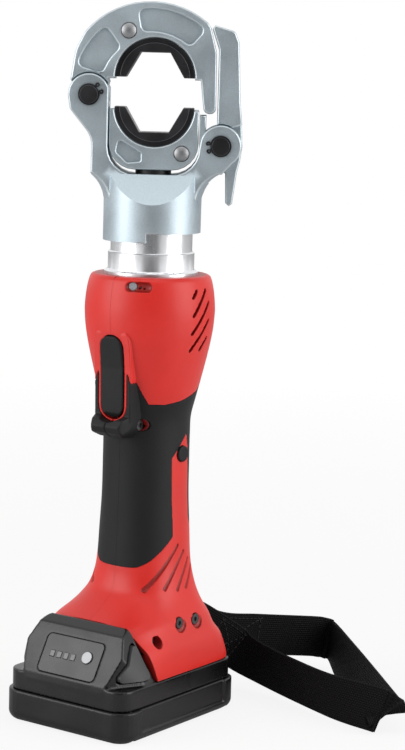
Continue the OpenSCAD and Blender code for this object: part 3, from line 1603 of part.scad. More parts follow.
module battery_board() {
  half = holder_from + holder_t;
  reach = 2.5 * cell_pitch - pcb_end;
  color("darkgreen") in_handle() translate([-half, -pack_fwd - reach, holder_top])
    cube([2 * half, 2 * reach, pcb_t]);
}

module battery_terminals() {
  z = holder_top + pcb_t;
  color("goldenrod") in_handle() for (x = blade_xs) for (side = [-1, 1])
    translate([x + side * (blade_t / 2 + clip_gap + clip_t / 2) - clip_t / 2, blade_back - blade_l, z])
      cube([clip_t, clip_l, plate_z + clip_h - z]);
}

// Wrist strap: stations as shares of its reach, its width and its lean
strap_shares = [[0, 0.148, 1.79, 0, 0], [-0.0155, 0.155, 1.79, 0, 0], [-0.021, 0.17, 1.79, 0, 0],
  [-0.022, 0.195, 1.79, 0, 0], [-0.012, 0.245, 1.76, 0, 0], [0.064, 0.42, 1.27, 0, 0],
  [0.118, 0.62, 1.04, 0, 0],
  [0.217, 0.853, 0.82, 0, 0], [0.238, 0.905, 0.75, 0, 0], [0.257, 0.932, 0.69, 0.03, 0.02],
  [0.29, 0.918, 0.66, 0.08, 0.06], [0.467, 0.742, 0.55, 0.34, 0.24], [0.707, 0.505, 0.45, 0.69, 0.49],
  [0.885, 0.328, 0.42, 1.05, 0.75], [0.912, 0.302, 0.47, 1.05, 0.75], [0.908, 0.283, 0.52, 0.9, 0.6],
  [0.87, 0.282, 0.545, 0.6, 0.35], [0.67, 0.306, 0.57, 0.06, 0.04], [0.429, 0.397, 0.58, 0, 0],
  [0.269, 0.438, 0.68, 0, 0], [0.17, 0.435, 0.86, 0, 0], [0.12, 0.395, 1.14, 0, 0],
  [0.047, 0.26, 1.74, 0, 0],
  [0.0235, 0.2, 1.79, 0, 0], [0.021, 0.17, 1.79, 0, 0], [0.0155, 0.155, 1.79, 0, 0]];
strap_steps = 3;
function strap_station(i) = strap_shares[(i + len(strap_shares)) % len(strap_shares)];
strap_path = [for (i = [0:len(strap_shares) - 1]) for (k = [0:strap_steps - 1])
  mix(strap_station(i - 1), strap_station(i), strap_station(i + 1), strap_station(i + 2), k / strap_steps)];
function strap_at(i) = let (s = strap_path[(i + len(strap_path)) % len(strap_path)])
  [s[0] * strap_reach, s[1] * strap_reach, s[2] * strap_w];
strap_rings = [for (i = [0:len(strap_path) - 1]) let (s = strap_path[i], p = strap_at(i),
  along = unit(strap_at(i + 1) - strap_at(i - 1)), lean = [s[3], s[4], 1],
  up = unit(lean - along * (lean * along)), out = cross(up, along) * strap_t / 2, rise = up * strap_w / 2)
  [p + out - rise, p + out + rise, p - out + rise, p - out - rise]];

module wrist_strap() {
  echo("lowest strap point", min([for (r = strap_rings) for (p = r) p.z]));
  color("black") in_handle() skin_solid(strap_rings, true);
}

head_yoke();
upper_jaw();
jaw_pin();
jaw_pin_rings();
latch();
latch_pin();
latch_pin_rings();
latch_spring();
die_carrier();
upper_die();
lower_die();
upper_die_button();
lower_die_button();
upper_button_spring();
lower_button_spring();
ram();
ram_seal();
return_spring();
neck_tube();
gland_nut();
swivel_ring();
stop_pin();
pump_block();
pump_plunger();
cam_shaft();
cam_bearing();
gear_case();
motor_can();
motor_shaft();
oil_bladder();
control_board();
terminal_block();
housing_left();
housing_right();
grip_left();
grip_right();
trigger();
trigger_pin();
trigger_spring();
trigger_switch();
side_button();
led_lens();
housing_screws();
strap_pin();
wrist_strap();
battery_shoe();
battery_cover();
battery_cells();
cell_holder();
cell_straps();
battery_board();
battery_terminals();
battery_screws();
gauge_window();
gauge_lights();
gauge_button();
release_button_left();
release_button_right();
release_springs();
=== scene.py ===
"""Looks of a battery press tool for pipe fittings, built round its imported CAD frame."""
import json
import math

import bmesh
import bpy
import numpy as np
from bpy.props import FloatProperty, FloatVectorProperty, IntProperty, PointerProperty
from bpy.types import NodeSocket, Operator, Panel, PropertyGroup
from mathutils import Matrix, Vector


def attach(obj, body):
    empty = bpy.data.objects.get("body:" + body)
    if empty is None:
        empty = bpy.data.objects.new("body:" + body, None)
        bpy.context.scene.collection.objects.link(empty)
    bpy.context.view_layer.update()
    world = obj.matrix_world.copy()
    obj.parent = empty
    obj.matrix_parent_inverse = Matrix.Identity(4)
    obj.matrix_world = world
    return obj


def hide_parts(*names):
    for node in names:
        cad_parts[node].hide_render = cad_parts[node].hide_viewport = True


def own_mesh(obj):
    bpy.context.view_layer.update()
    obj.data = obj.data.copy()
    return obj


bl_info = {
    "name": "Press tool looks",
    "version": (1, 0, 0),
    "blender": (4, 5, 0),
    "location": "View3D > Sidebar > Press tool",
    "description": "Finishes the shells, metal, webbing and studio of a battery press tool",
    "category": "Object",
}

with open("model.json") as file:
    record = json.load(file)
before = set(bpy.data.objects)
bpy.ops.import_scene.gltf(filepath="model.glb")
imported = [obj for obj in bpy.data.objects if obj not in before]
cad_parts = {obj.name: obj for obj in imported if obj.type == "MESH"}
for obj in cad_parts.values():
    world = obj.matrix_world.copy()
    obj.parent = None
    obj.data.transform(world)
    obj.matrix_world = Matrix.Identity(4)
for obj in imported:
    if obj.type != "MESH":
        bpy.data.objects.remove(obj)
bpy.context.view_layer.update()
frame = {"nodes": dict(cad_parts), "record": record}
NODES = frame["nodes"]
BEHAVIOUR = frame["record"]["behaviour"]
BODY_OF = {node: body for body, nodes in BEHAVIOUR["bodies"].items() for node in nodes}
MM, MICRON, TINY = 1e-3, 1e-6, 1e-9

# Points nearer than WELD are one; flat faces within FLAT_STEP lie on one level
WELD, FLAT_STEP = 2e-6, 2e-5
# Faces this near to flat are joined; edges above these angles are rounded, or shaded sharp
FLAT, ROUND_FROM, SHARP_FROM = math.radians(0.8), math.radians(34), math.radians(38)
PLAIN_SHARP_FROM = math.radians(32)
# How squarely a flat, a side and an exact flat look along a direction
FLAT_LOOK, SIDE_LOOK, EXACT_LOOK = 0.97, 0.75, 0.9999
BEVEL_STEPS, NORMAL_WEIGHT, SMOOTH_SHARE = 3, 100, 0.5
# Most triangles of a handle shell, and of the battery's shoe and cover
SHELL_TRIANGLES, PACK_TRIANGLES = 170000, 130000

# The handle stands turned against the head; HANDLE_TURN brings points into its own frame
HANDLE_YAW = math.radians(35.5)
HANDLE_TURN = np.array(((math.cos(HANDLE_YAW), -math.sin(HANDLE_YAW), 0),
                        (math.sin(HANDLE_YAW), math.cos(HANDLE_YAW), 0), (0, 0, 1)))
# Rows of the handle's form as shares: height, front, back, half width, roundness
FOOT_ROWS = ((0, 1, 1, 1, 8), (0.07, 1, 0.99, 0.993, 8), (0.235, 0.968, 0.944, 0.957, 6),
             (0.335, 0.935, 0.913, 0.909, 4), (0.45, 0.855, 0.879, 0.861, 3.3),
             (0.527, 0.719, 0.861, 0.801, 2.9), (0.6, 0.6, 0.839, 0.744, 2.7),
             (0.7, 0.481, 0.82, 0.689, 2.5), (0.835, 0.434, 0.799, 0.639, 2.35),
             (1, 0.423, 0.79, 0.605, 2.25))
GRIP_ROWS = ((0.167, 1.058, 1.033, 1.021, 2.2), (0.389, 1.033, 1.008, 0.983, 2.15),
             (0.611, 1.029, 1.004, 0.975, 2.15), (0.778, 1.029, 1.004, 0.975, 2.15),
             (0.889, 1.041, 1.021, 1, 2.1))
# Rows of the round body below the neck: height and radius
BODY_ROWS = ((0, 0.738), (0.143, 0.807), (0.286, 0.873), (0.429, 0.934), (0.571, 0.981),
             (0.714, 1), (0.829, 0.985), (0.914, 0.959), (0.966, 0.931), (0.99, 0.906), (1, 0.865))
BODY_POWER = 2.08
# The handle in millimetres: foot's front, back and half width, radii, heights
FOOT_SIZES = (62, 32.3, 41.8)
GRIP_RADIUS, BODY_RADIUS = 24.2, 36.2
FOOT_Z, TOP_Z, FOOT_RISE, BODY_RISE = 29.9, 249.9, 60, 70
# Curve steps between two rows, steps in millimetres that find the slope, least share
FORM_STATIONS, FORM_STEPS, LEAST_SHARE = 8, (0.05, 0.05, 1.5), 0.2
# Half the gap of the parting line in millimetres, and how much wider the snap is there
SEAM_GAP, SEAM_REACH = 0.07, 2.2
# Share of the snap over which it fades, and heights left out at the foot and the top
SNAP_FADE, FOOT_MARGIN, TOP_MARGIN = 0.4, 1.2, 1.0
# Depths in millimetres below the form between which grooves and seats get painted shade, a darker
# colour
SHADE_DEPTHS = (0.25, 1.1)

# Turned collar of the yoke in millimetres: radius, height where it flares, radius of the flare
COLLAR_RADIUS, FLARE_Z, FLARE_RADIUS = 27.3, 289.4, 19
# How near its faces lie, how squarely they look, and the sine where the flare ends
COLLAR_NEAR, FLARE_NEAR, COLLAR_LOOK, FLARE_END = 0.2, 0.3, 0.85, 0.95
# Battery shoe in millimetres: half width, front, back, corner radius, radius of its lower edge
SHOE_HALF, SHOE_FRONT, SHOE_BACK, SHOE_CORNER, SHOE_EDGE = 44, 72.5, -36.5, 12, 5.5
# Shares of the fine edge on pins, release buttons and gauge lights
PIN_EDGE, RELEASE_EDGE, LIGHTS_EDGE = 0.5, 1.5, 0.6


def measure(name, description, default, **limits):
    """A setting of length, its default in millimetres."""
    return FloatProperty(name=name, description=description, default=default * MM,
                         subtype="DISTANCE", **limits)


def swatch(name, description, default):
    """A setting of colour, linear."""
    return FloatVectorProperty(name=name, description=description, default=default,
                               subtype="COLOR")


class ToolSizes(PropertyGroup):
    """Sizes of the finish."""
    voxel: measure("Shell voxel", "Mesh size of the moulded shells", 0.5, min=0.3 * MM, max=2 * MM)
    seam: measure("Parting line", "Half width of the strip kept sharp at the parting line", 0.6)
    snap: measure("Form snap", "How near the handle's form a shell point is drawn onto it", 0.42)
    soften: IntProperty(
        name="Shell smoothing", description="Smoothing rounds on the moulded edges", default=3)
    shoe_voxel: measure("Pack voxel", "Mesh size of the battery's shoe and cover", 0.65,
                        min=0.4 * MM, max=2 * MM)
    head_edge: measure("Head edge", "Width of the rounded edges on the head", 1.1)
    head_weld: measure("Head weld", "Finest arc step kept on the head", 0.8)
    fine_edge: measure("Fine edge", "Width of the rounded edges on small pieces", 0.35)
    webbing_width: measure("Webbing width", "Width of the wrist strap", 25)
    webbing_thickness: measure("Webbing thickness", "Thickness of the wrist strap", 1.7)
    strap_reach: measure("Strap reach", "Reach of the strap from the tool axis", 150)
    stitch_length: measure("Stitch length", "Length of one stitch", 2.4)
    stitch_radius: measure("Stitch radius", "Radius of the thread", 0.28)


class ToolColours(PropertyGroup):
    """Colours of the finishes."""
    red: swatch("Shell red", "Moulded handle shells", (0.68, 0.018, 0.011))
    grip: swatch("Grip charcoal", "Soft grip", (0.0068, 0.0070, 0.0078))
    head: swatch("Head metal", "Satin forged head", (0.445, 0.515, 0.555))
    # The rim colour is a painted highlight on the rounded edges of the head, a little lighter than
    # the head metal
    rim: swatch("Rim highlight", "Painted highlight on the head's rounded edges", (0.49, 0.54, 0.565))
    neck: swatch("Neck metal", "Turned neck", (0.80, 0.81, 0.83))
    oxide: swatch("Black oxide", "Dies, pins and rings", (0.022, 0.022, 0.024))
    pack: swatch("Pack black", "Battery pack", (0.0042, 0.0042, 0.0045))
    release: swatch("Release grey", "Release buttons of the pack", (0.050, 0.051, 0.053))
    gauge: swatch("Gauge face", "Face of the charge gauge", (0.014, 0.014, 0.015))
    webbing: swatch("Webbing black", "Wrist strap", (0.0018, 0.0018, 0.0021))


class StageSettings(PropertyGroup):
    """Camera and light."""
    camera_place: FloatVectorProperty(
        name="Camera place", description="Where the camera stands",
        default=(0.0306, -1.2, 0.363), subtype="XYZ", unit="LENGTH")
    camera_pitch: FloatProperty(
        name="Camera pitch", description="Angle that the camera looks down",
        default=math.radians(8.07), subtype="ANGLE")
    camera_roll: FloatProperty(
        name="Camera roll", description="Lean of the picture",
        default=math.radians(1.6), subtype="ANGLE")
    lens: FloatProperty(
        name="Lens", description="Focal length on a 36 mm sensor", default=103.0)
    side_power: FloatProperty(
        name="Side light", description="Power of each side softbox", default=12.0, unit="POWER")
    top_power: FloatProperty(
        name="Top light", description="Power of the top softbox", default=3.2, unit="POWER")
    fill: FloatProperty(
        name="Fill", description="Level of the light from all round", default=0.40)


# Meshes

def new_object(name, mesh):
    """A linked object at the origin."""
    obj = bpy.data.objects.new(name, mesh)
    bpy.context.scene.collection.objects.link(obj)
    return obj


def welded(node, weld=WELD, flatten=True):
    """A CAD node's mesh to work on, its points welded and its flat faces joined."""
    work = bmesh.new()
    work.from_mesh(NODES[node].data)
    bmesh.ops.remove_doubles(work, verts=work.verts, dist=weld)
    if flatten:
        bmesh.ops.dissolve_limit(work, angle_limit=FLAT, verts=work.verts, edges=work.edges)
    return work


def look_object(node, work):
    """A new object from a worked mesh, which is freed."""
    mesh = bpy.data.meshes.new(node + "_look")
    work.to_mesh(mesh)
    work.free()
    return new_object(node + "_look", mesh)


def merged_copy(node, flatten=True):
    """A welded copy of a CAD node's mesh without its import data."""
    obj = look_object(node, welded(node, flatten=flatten))
    attributes = obj.data.attributes
    for name in ("custom_normal", "sharp_face", "sharp_edge"):
        if name in attributes:
            attributes.remove(attributes[name])
    return obj


def bake_modifiers(obj):
    """Turns an object with modifiers into a plain mesh."""
    graph = bpy.context.evaluated_depsgraph_get()
    graph.update()
    mesh = bpy.data.meshes.new_from_object(obj.evaluated_get(graph), depsgraph=graph)
    mesh.name = obj.name
    obj.modifiers.clear()
    obj.data = mesh
    return obj


def finish_piece(obj, look, node):
    """Paints a piece, lets it ride with its body and stand for its CAD node."""
    obj.data.materials.clear()
    obj.data.materials.append(finish(look))
    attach(obj, BODY_OF[node])
    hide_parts(node)
    return obj


def rounded_copy(node, width, weld=WELD, facing=None, clamp=True):
    """A CAD node with its outer edges rounded; a corner attribute marks the rounding, where some
    finishes paint a highlight.

    Points of arcs finer than weld are joined first. With facing, only the edges of faces that look
    along this direction are rounded.
    """
    work = welded(node, weld)
    work.normal_update()

    def chosen(edge):
        if len(edge.link_faces) != 2 or not edge.is_convex or edge.calc_face_angle(0) < ROUND_FROM:
            return False
        if not facing:
            return True
        looks = [abs(face.normal.dot(facing)) for face in edge.link_faces]
        return max(looks) > FLAT_LOOK and min(looks) < SIDE_LOOK

    for face in work.faces:
        face.material_index = 0
    bmesh.ops.bevel(work, geom=[e for e in work.edges if chosen(e)], offset=width,
                    offset_type="OFFSET", segments=BEVEL_STEPS, profile=0.5, affect="EDGES",
                    clamp_overlap=clamp, material=1, loop_slide=True, miter_outer="SHARP")
    if facing:
        refill_flats(work, facing)
    rim = work.loops.layers.float.new("rim")
    for face in work.faces:
        for loop in face.loops:
            loop[rim] = face.material_index
        face.material_index = 0
        face.smooth = True
    obj = look_object(node, work)
    obj.data.set_sharp_from_angle(angle=SHARP_FROM)
    weighted = obj.modifiers.new("Normals", "WEIGHTED_NORMAL")
    weighted.keep_sharp = True
    weighted.weight = NORMAL_WEIGHT
    return bake_modifiers(obj)


def refill_flats(work, facing):
    """Fills flat faces along a direction anew where the rounding has folded them."""
    def level(face):
        look = face.normal.dot(facing)
        if abs(look) > EXACT_LOOK and face.material_index == 0:
            return look > 0, round(face.verts[0].co.dot(facing) / FLAT_STEP)
        return None

    folded = set()
    for corner in work.calc_loop_triangles():
        a, b, c = (loop.vert.co for loop in corner)
        face = corner[0].face
        if (b - a).cross(c - a).dot(face.normal) < 0:
            folded.add(level(face))
    for key in sorted(folded - {None}):
        faces = [face for face in work.faces if level(face) == key]
        known = set(faces)
        sides = {edge: sum(face in known for face in edge.link_faces) for edge in work.edges}
        border = [edge for edge, count in sides.items() if count == 1]
        inner = [edge for edge, count in sides.items() if count > 1]
        bmesh.ops.delete(work, geom=faces, context="FACES_ONLY")
        bmesh.ops.delete(work, geom=inner, context="EDGES")
        bmesh.ops.triangle_fill(work, use_beauty=True, edges=border,
                                normal=facing if key[0] else -facing)
    bmesh.ops.dissolve_degenerate(work, dist=WELD, edges=work.edges)
    holes = [edge for edge in work.edges if len(edge.link_faces) == 1]
    bmesh.ops.holes_fill(work, edges=holes)
    bmesh.ops.recalc_face_normals(work, faces=work.faces)


def plain_copy(node):
    """A CAD node with smooth shading between its hard edges."""
    obj = merged_copy(node)
    obj.data.shade_smooth()
    obj.data.set_sharp_from_angle(angle=PLAIN_SHARP_FROM)
    return obj


def softened_copy(node, voxel, rounds, triangles=None):
    """A CAD node remeshed with softly rounded edges, thinned to a number of triangles."""
    obj = merged_copy(node, flatten=False)
    remesh = obj.modifiers.new("Voxels", "REMESH")
    remesh.mode = "VOXEL"
    remesh.voxel_size = voxel
    smooth = obj.modifiers.new("Soft", "SMOOTH")
    smooth.factor = SMOOTH_SHARE
    smooth.iterations = rounds
    bake_modifiers(obj)
    count = 2 * len(obj.data.polygons)
    if triangles and count > triangles:
        thin = obj.modifiers.new("Thin", "DECIMATE")
        thin.ratio = triangles / count
        bake_modifiers(obj)
    obj.data.shade_smooth()
    return obj


def finish_pieces(copy, nodes, look, *how):
    """Paints copies of CAD nodes made in one way."""
    for node in nodes:
        finish_piece(copy(node, *how), look, node)


# The handle's form

def unit(vectors):
    """A vector, or rows of vectors, made of length 1."""
    return vectors / np.maximum(np.linalg.norm(vectors, axis=-1, keepdims=True), TINY)


def vectors_of(items, key):
    """A vector of each of a mesh's items, as rows."""
    values = np.zeros(len(items) * 3)
    items.foreach_get(key, values)
    return values.reshape(-1, 3)


def handle_points(mesh):
    """A mesh's points in the handle's own frame, in millimetres."""
    return vectors_of(mesh.vertices, "co") / MM @ HANDLE_TURN.T


def place_points(mesh, points):
    """Moves a mesh's points to places in the handle's own frame, in millimetres."""
    mesh.vertices.foreach_set("co", (points @ HANDLE_TURN * MM).ravel())
    mesh.update()


def form_rows():
    """Rows of the handle in millimetres: height, front, back, half width, roundness."""
    front, back, half = FOOT_SIZES
    rows = [(FOOT_Z + r[0] * FOOT_RISE, r[1] * front, r[2] * back, r[3] * half, r[4])
            for r in FOOT_ROWS]
    grip_z = FOOT_Z + FOOT_RISE
    rise = TOP_Z - grip_z - BODY_RISE
    rows += [(grip_z + r[0] * rise, *(share * GRIP_RADIUS for share in r[1:4]), r[4])
             for r in GRIP_ROWS]
    rows += [(TOP_Z - BODY_RISE + r[0] * BODY_RISE, *(r[1] * BODY_RADIUS,) * 3, BODY_POWER)
             for r in BODY_ROWS]
    return np.array(rows)


def spline(rows, steps, closed=False):
    """Points of a Catmull-Rom curve through rows of values."""
    count = len(rows)
    out = []
    for i in range(count if closed else count - 1):
        a, b, c, d = (rows[k % count if closed else min(max(k, 0), count - 1)]
                      for k in range(i - 1, i + 3))
        for k in range(steps):
            t = k / steps
            out.append((2 * b + (c - a) * t + (2 * a - 5 * b + 4 * c - d) * t ** 2
                        + (3 * b - a - 3 * c + d) * t ** 3) / 2)
    if not closed:
        out.append(rows[-1])
    return np.array(out)


def form_share(points, rows):
    """How far out points lie, 1 on the handle's form."""
    x, y, z = points.T
    front, back, half, power = (np.interp(z, rows[:, 0], rows[:, k]) for k in range(1, 5))
    depth = np.where(y < 0, front, back)
    share = ((np.abs(x) / half) ** power + (np.abs(y) / depth) ** power) ** (1 / power)
    return np.maximum(share, LEAST_SHARE)


def draw_onto_form(mesh, reach, seam):
    """Moves shell points near the handle's form exactly onto it and gives them its normals.

    A point attribute says how deep the other points lie below it; by it the red shell paints shade
    into its grooves and seats.
    """
    points = handle_points(mesh)
    rows = spline(form_rows(), FORM_STATIONS)
    share = form_share(points, rows)
    radius = np.hypot(points[:, 0], points[:, 1])
    off = np.abs(share - 1) * radius / share / (reach / MM)
    parting = np.abs(points[:, 0]) < seam / MM
    off[parting] /= SEAM_REACH
    weight = np.clip((1 - off) / SNAP_FADE, 0, 1)
    weight[(points[:, 2] < FOOT_Z + FOOT_MARGIN) | (points[:, 2] > TOP_Z - TOP_MARGIN)] = 0

    depth = (1 / share - 1) * radius
    # Painted shade: the deeper a point lies below the form, the darker the red shell is painted
    # there
    shade_weight = np.clip((depth - SHADE_DEPTHS[0]) / (SHADE_DEPTHS[1] - SHADE_DEPTHS[0]), 0, 1)
    hollow = mesh.attributes.new("hollow", "FLOAT", "POINT")
    hollow.data.foreach_set("value", shade_weight.astype(np.float32))

    edge = parting & (weight > 0.5)
    points[edge, 0] = np.sign(points[edge, 0]) * SEAM_GAP
    points[:, :2] *= (1 + weight * (1 / share - 1))[:, None]
    place_points(mesh, points)

    slope = np.zeros_like(points)
    for axis, step in enumerate(FORM_STEPS):
        shift = np.eye(3)[axis] * step
        rise = form_share(points + shift, rows) - form_share(points - shift, rows)
        slope[:, axis] = rise / step
    own = vectors_of(mesh.vertex_normals, "vector")
    mixed = unit(own + weight[:, None] * (unit(slope @ HANDLE_TURN) - own))
    mesh.shade_smooth()
    mesh.normals_split_custom_set_from_vertices([tuple(n) for n in mixed])


# Shapes of single pieces

def round_shoe_corners(mesh):
    """Sweeps the rounded lower edge of the battery shoe round its four corners."""
    points = handle_points(mesh)
    middle = (SHOE_FRONT + SHOE_BACK) / 2
    ahead = -points[:, 1] - middle
    out = np.column_stack((np.abs(points[:, 0]) - SHOE_HALF + SHOE_CORNER,
                           np.abs(ahead) - SHOE_FRONT + middle + SHOE_CORNER))
    reach = np.maximum(np.linalg.norm(out, axis=1), TINY)
    sides = np.column_stack((reach - SHOE_CORNER + SHOE_EDGE, points[:, 2] - SHOE_EDGE))
    length = np.maximum(np.linalg.norm(sides, axis=1), TINY)
    corner = ((out > 0).all(axis=1) & (sides[:, 0] > 0) & (sides[:, 1] < 0)
              & (length > SHOE_EDGE))
    drawn = sides[corner] * (SHOE_EDGE / length[corner])[:, None]
    share = (drawn[:, 0] + SHOE_CORNER - SHOE_EDGE) / reach[corner]
    shift = out[corner] * (share - 1)[:, None]
    points[corner, 0] += np.sign(points[corner, 0]) * shift[:, 0]
    points[corner, 1] -= np.sign(ahead[corner]) * shift[:, 1]
    points[corner, 2] = drawn[:, 1] + SHOE_EDGE
    place_points(mesh, points)


def turn_collar_normals(mesh):
    """Gives the turned collar of the yoke and its flare their true normals."""
    normals = vectors_of(mesh.corner_normals, "vector")
    rim = mesh.attributes["rim"].data
    for face in mesh.polygons:
        if rim[face.loop_start].value > 0.5:
            continue
        spots = np.array([mesh.vertices[v].co for v in face.vertices]) / MM
        radius = np.maximum(np.hypot(spots[:, 0], spots[:, 1]), TINY)
        lift = np.arcsin(np.clip((spots[:, 2] - FLARE_Z) / FLARE_RADIUS, 0, FLARE_END))
        flare = COLLAR_RADIUS + FLARE_RADIUS * (1 - np.cos(lift))
        if np.abs(radius - COLLAR_RADIUS).max() < COLLAR_NEAR:
            lift[:] = 0
        elif np.abs(radius - flare).max() > FLARE_NEAR:
            continue
        level = np.cos(lift) / radius
        true = np.column_stack((spots[:, 0] * level, spots[:, 1] * level, -np.sin(lift)))
        if true.mean(axis=0).dot(face.normal) > COLLAR_LOOK:
            normals[face.loop_start:face.loop_start + face.loop_total] = true
    mesh.normals_split_custom_set([tuple(n) for n in normals])


# Shader groups

def group(name, inputs, outputs):
    """A new shader node group on a vector and named values, and its in and out nodes."""
    tree = bpy.data.node_groups.new(name, "ShaderNodeTree")
    add = tree.interface.new_socket
    add("Vector", in_out="INPUT", socket_type="NodeSocketVector")
    for label, value in inputs.items():
        add(label, in_out="INPUT", socket_type="NodeSocketFloat").default_value = value
    for label in outputs:
        add(label, in_out="OUTPUT", socket_type="NodeSocketFloat")
    return tree, tree.nodes.new("NodeGroupInput"), tree.nodes.new("NodeGroupOutput")


def math_node(tree, kind, a, b=None):
    """A math node whose inputs are sockets or numbers."""
    node = tree.nodes.new("ShaderNodeMath")
    node.operation = kind
    for slot, value in zip(node.inputs, (a, b)):
        if isinstance(value, NodeSocket):
            tree.links.new(value, slot)
        elif value is not None:
            slot.default_value = value
    return node.outputs[0]


# Detail of the grain and of the mottle, and the share of pits in the grain
GRAIN_DETAIL, MOTTLE_DETAIL, PIT_SHARE = 3, 4, 0.5


def grain_group():
    """Fine moulded or cast grain: a height for bump and a slow mottle."""
    name = "Surface grain"
    if name in bpy.data.node_groups:
        return bpy.data.node_groups[name]
    tree, into, out = group(name, {"Grain": 1500.0, "Mottle": 60.0}, ("Height", "Mottle"))
    fine = tree.nodes.new("ShaderNodeTexNoise")
    fine.inputs["Detail"].default_value = GRAIN_DETAIL
    cells = tree.nodes.new("ShaderNodeTexVoronoi")
    slow = tree.nodes.new("ShaderNodeTexNoise")
    slow.inputs["Detail"].default_value = MOTTLE_DETAIL
    for node, scale in ((fine, "Grain"), (cells, "Grain"), (slow, "Mottle")):
        tree.links.new(into.outputs["Vector"], node.inputs["Vector"])
        tree.links.new(into.outputs[scale], node.inputs["Scale"])
    pits = math_node(tree, "MULTIPLY", cells.outputs["Distance"], PIT_SHARE)
    tree.links.new(math_node(tree, "ADD", fine.outputs[0], pits), out.inputs["Height"])
    tree.links.new(slow.outputs[0], out.inputs["Mottle"])
    return tree


# Webbing: millimetres between ribs and picks, the shares of its colour in the gaps and on the ribs
# (painted shade and painted highlight), sheen, bump and roughness
WEAVE = {"Rib": 1.25, "Pick": 1.6}
WEAVE_PAINTED_LIGHT, WEAVE_SHEEN, WEAVE_ROUGHNESS = (0.35, 1.7), 0.12, (0.55, 0.9)
WEAVE_STRENGTH, WEAVE_DEPTH = 0.9, 0.35 * MM
# Shift of the picks from rib to rib, and how square ribs and picks are
WEAVE_SHIFT, RIB_POWER, PICK_POWER = 0.5, 0.6, 0.5


def weave_group():
    """Woven webbing on its own length and width: ribs that step from row to row."""
    name = "Webbing weave"
    if name in bpy.data.node_groups:
        return bpy.data.node_groups[name]
    tree, into, out = group(name, WEAVE, ("Height", "Gap"))
    split = tree.nodes.new("ShaderNodeSeparateXYZ")
    tree.links.new(into.outputs["Vector"], split.inputs[0])

    def wave(value, sharpness):
        turns = math_node(tree, "MULTIPLY", value, math.pi)
        swell = math_node(tree, "ABSOLUTE", math_node(tree, "SINE", turns))
        return math_node(tree, "POWER", swell, sharpness)

    along = math_node(tree, "DIVIDE", split.outputs["X"], into.outputs["Pick"])
    across = math_node(tree, "DIVIDE", split.outputs["Y"], into.outputs["Rib"])
    step = math_node(tree, "MULTIPLY", math_node(tree, "FLOOR", across), WEAVE_SHIFT)
    pick = wave(math_node(tree, "ADD", along, step), PICK_POWER)
    height = math_node(tree, "MULTIPLY", wave(across, RIB_POWER), pick)
    tree.links.new(height, out.inputs["Height"])
    tree.links.new(math_node(tree, "SUBTRACT", 1.0, height), out.inputs["Gap"])
    return tree


# Materials

def new_material(name):
    """A new node material, its tree and its shader."""
    material = bpy.data.materials.new(name)
    material.use_nodes = True
    return material, material.node_tree, material.node_tree.nodes["Principled BSDF"]


def put(node, values):
    """Sets a node's inputs by their names."""
    for label, value in values.items():
        node.inputs[label].default_value = value


def place_group(tree, effect, vector, values):
    """Puts a group into a material's tree with its own values."""
    node = tree.nodes.new("ShaderNodeGroup")
    node.node_tree = effect
    tree.links.new(vector, node.inputs["Vector"])
    put(node, values)
    return node


def add_bump(tree, height, depth, strength=1.0, under=None):
    """Bump from a height to the shader, on top of another where there is one."""
    node = tree.nodes.new("ShaderNodeBump")
    put(node, {"Strength": strength, "Distance": depth})
    tree.links.new(height, node.inputs["Height"])
    if under is not None:
        tree.links.new(under, node.inputs["Normal"])
    tree.links.new(node.outputs[0], tree.nodes["Principled BSDF"].inputs["Normal"])


def mix_shaders(tree, factor, first, second, out):
    """A mix of two shaders by a socket, put out."""
    node = tree.nodes.new("ShaderNodeMixShader")
    for source, slot in zip((factor, first, second), node.inputs):
        tree.links.new(source, slot)
    tree.links.new(node.outputs[0], out.inputs[0])


def mix_colours(tree, factor, first, second):
    """A colour between two by a socket; the first may be a socket too."""
    node = tree.nodes.new("ShaderNodeMix")
    node.data_type = "RGBA"
    tree.links.new(factor, node.inputs[0])
    if isinstance(first, NodeSocket):
        tree.links.new(first, node.inputs[6])
    else:
        node.inputs[6].default_value = (*first, 1)
    node.inputs[7].default_value = (*second, 1)
    return node.outputs[2]


def mark(tree, name):
    """The value of a named attribute of the mesh."""
    node = tree.nodes.new("ShaderNodeAttribute")
    node.attribute_name = name
    return node.outputs["Fac"]


def ramp(tree, value, low, high, to_low, to_high):
    """A value mapped from one range to another, clamped."""
    node = tree.nodes.new("ShaderNodeMapRange")
    for slot, number in zip(list(node.inputs)[1:5], (low, high, to_low, to_high)):
        slot.default_value = number
    tree.links.new(value, node.inputs[0])
    return node.outputs[0]


def shade(colour, amount):
    """A colour made lighter or darker."""
    return tuple(min(1.0, c * amount) for c in colour)


# Ranges of the mottle, of the specks, and of the patches of painted highlight on rounded rims with
# their strength
MOTTLE, SPECK, PATCH, PATCHY = (0.3, 0.7), (0.45, 1.05), (0.25, 0.6), (0.3, 0.85)
RIM_GLOSS, COAT_ROUGHNESS = 0.85, 0.15


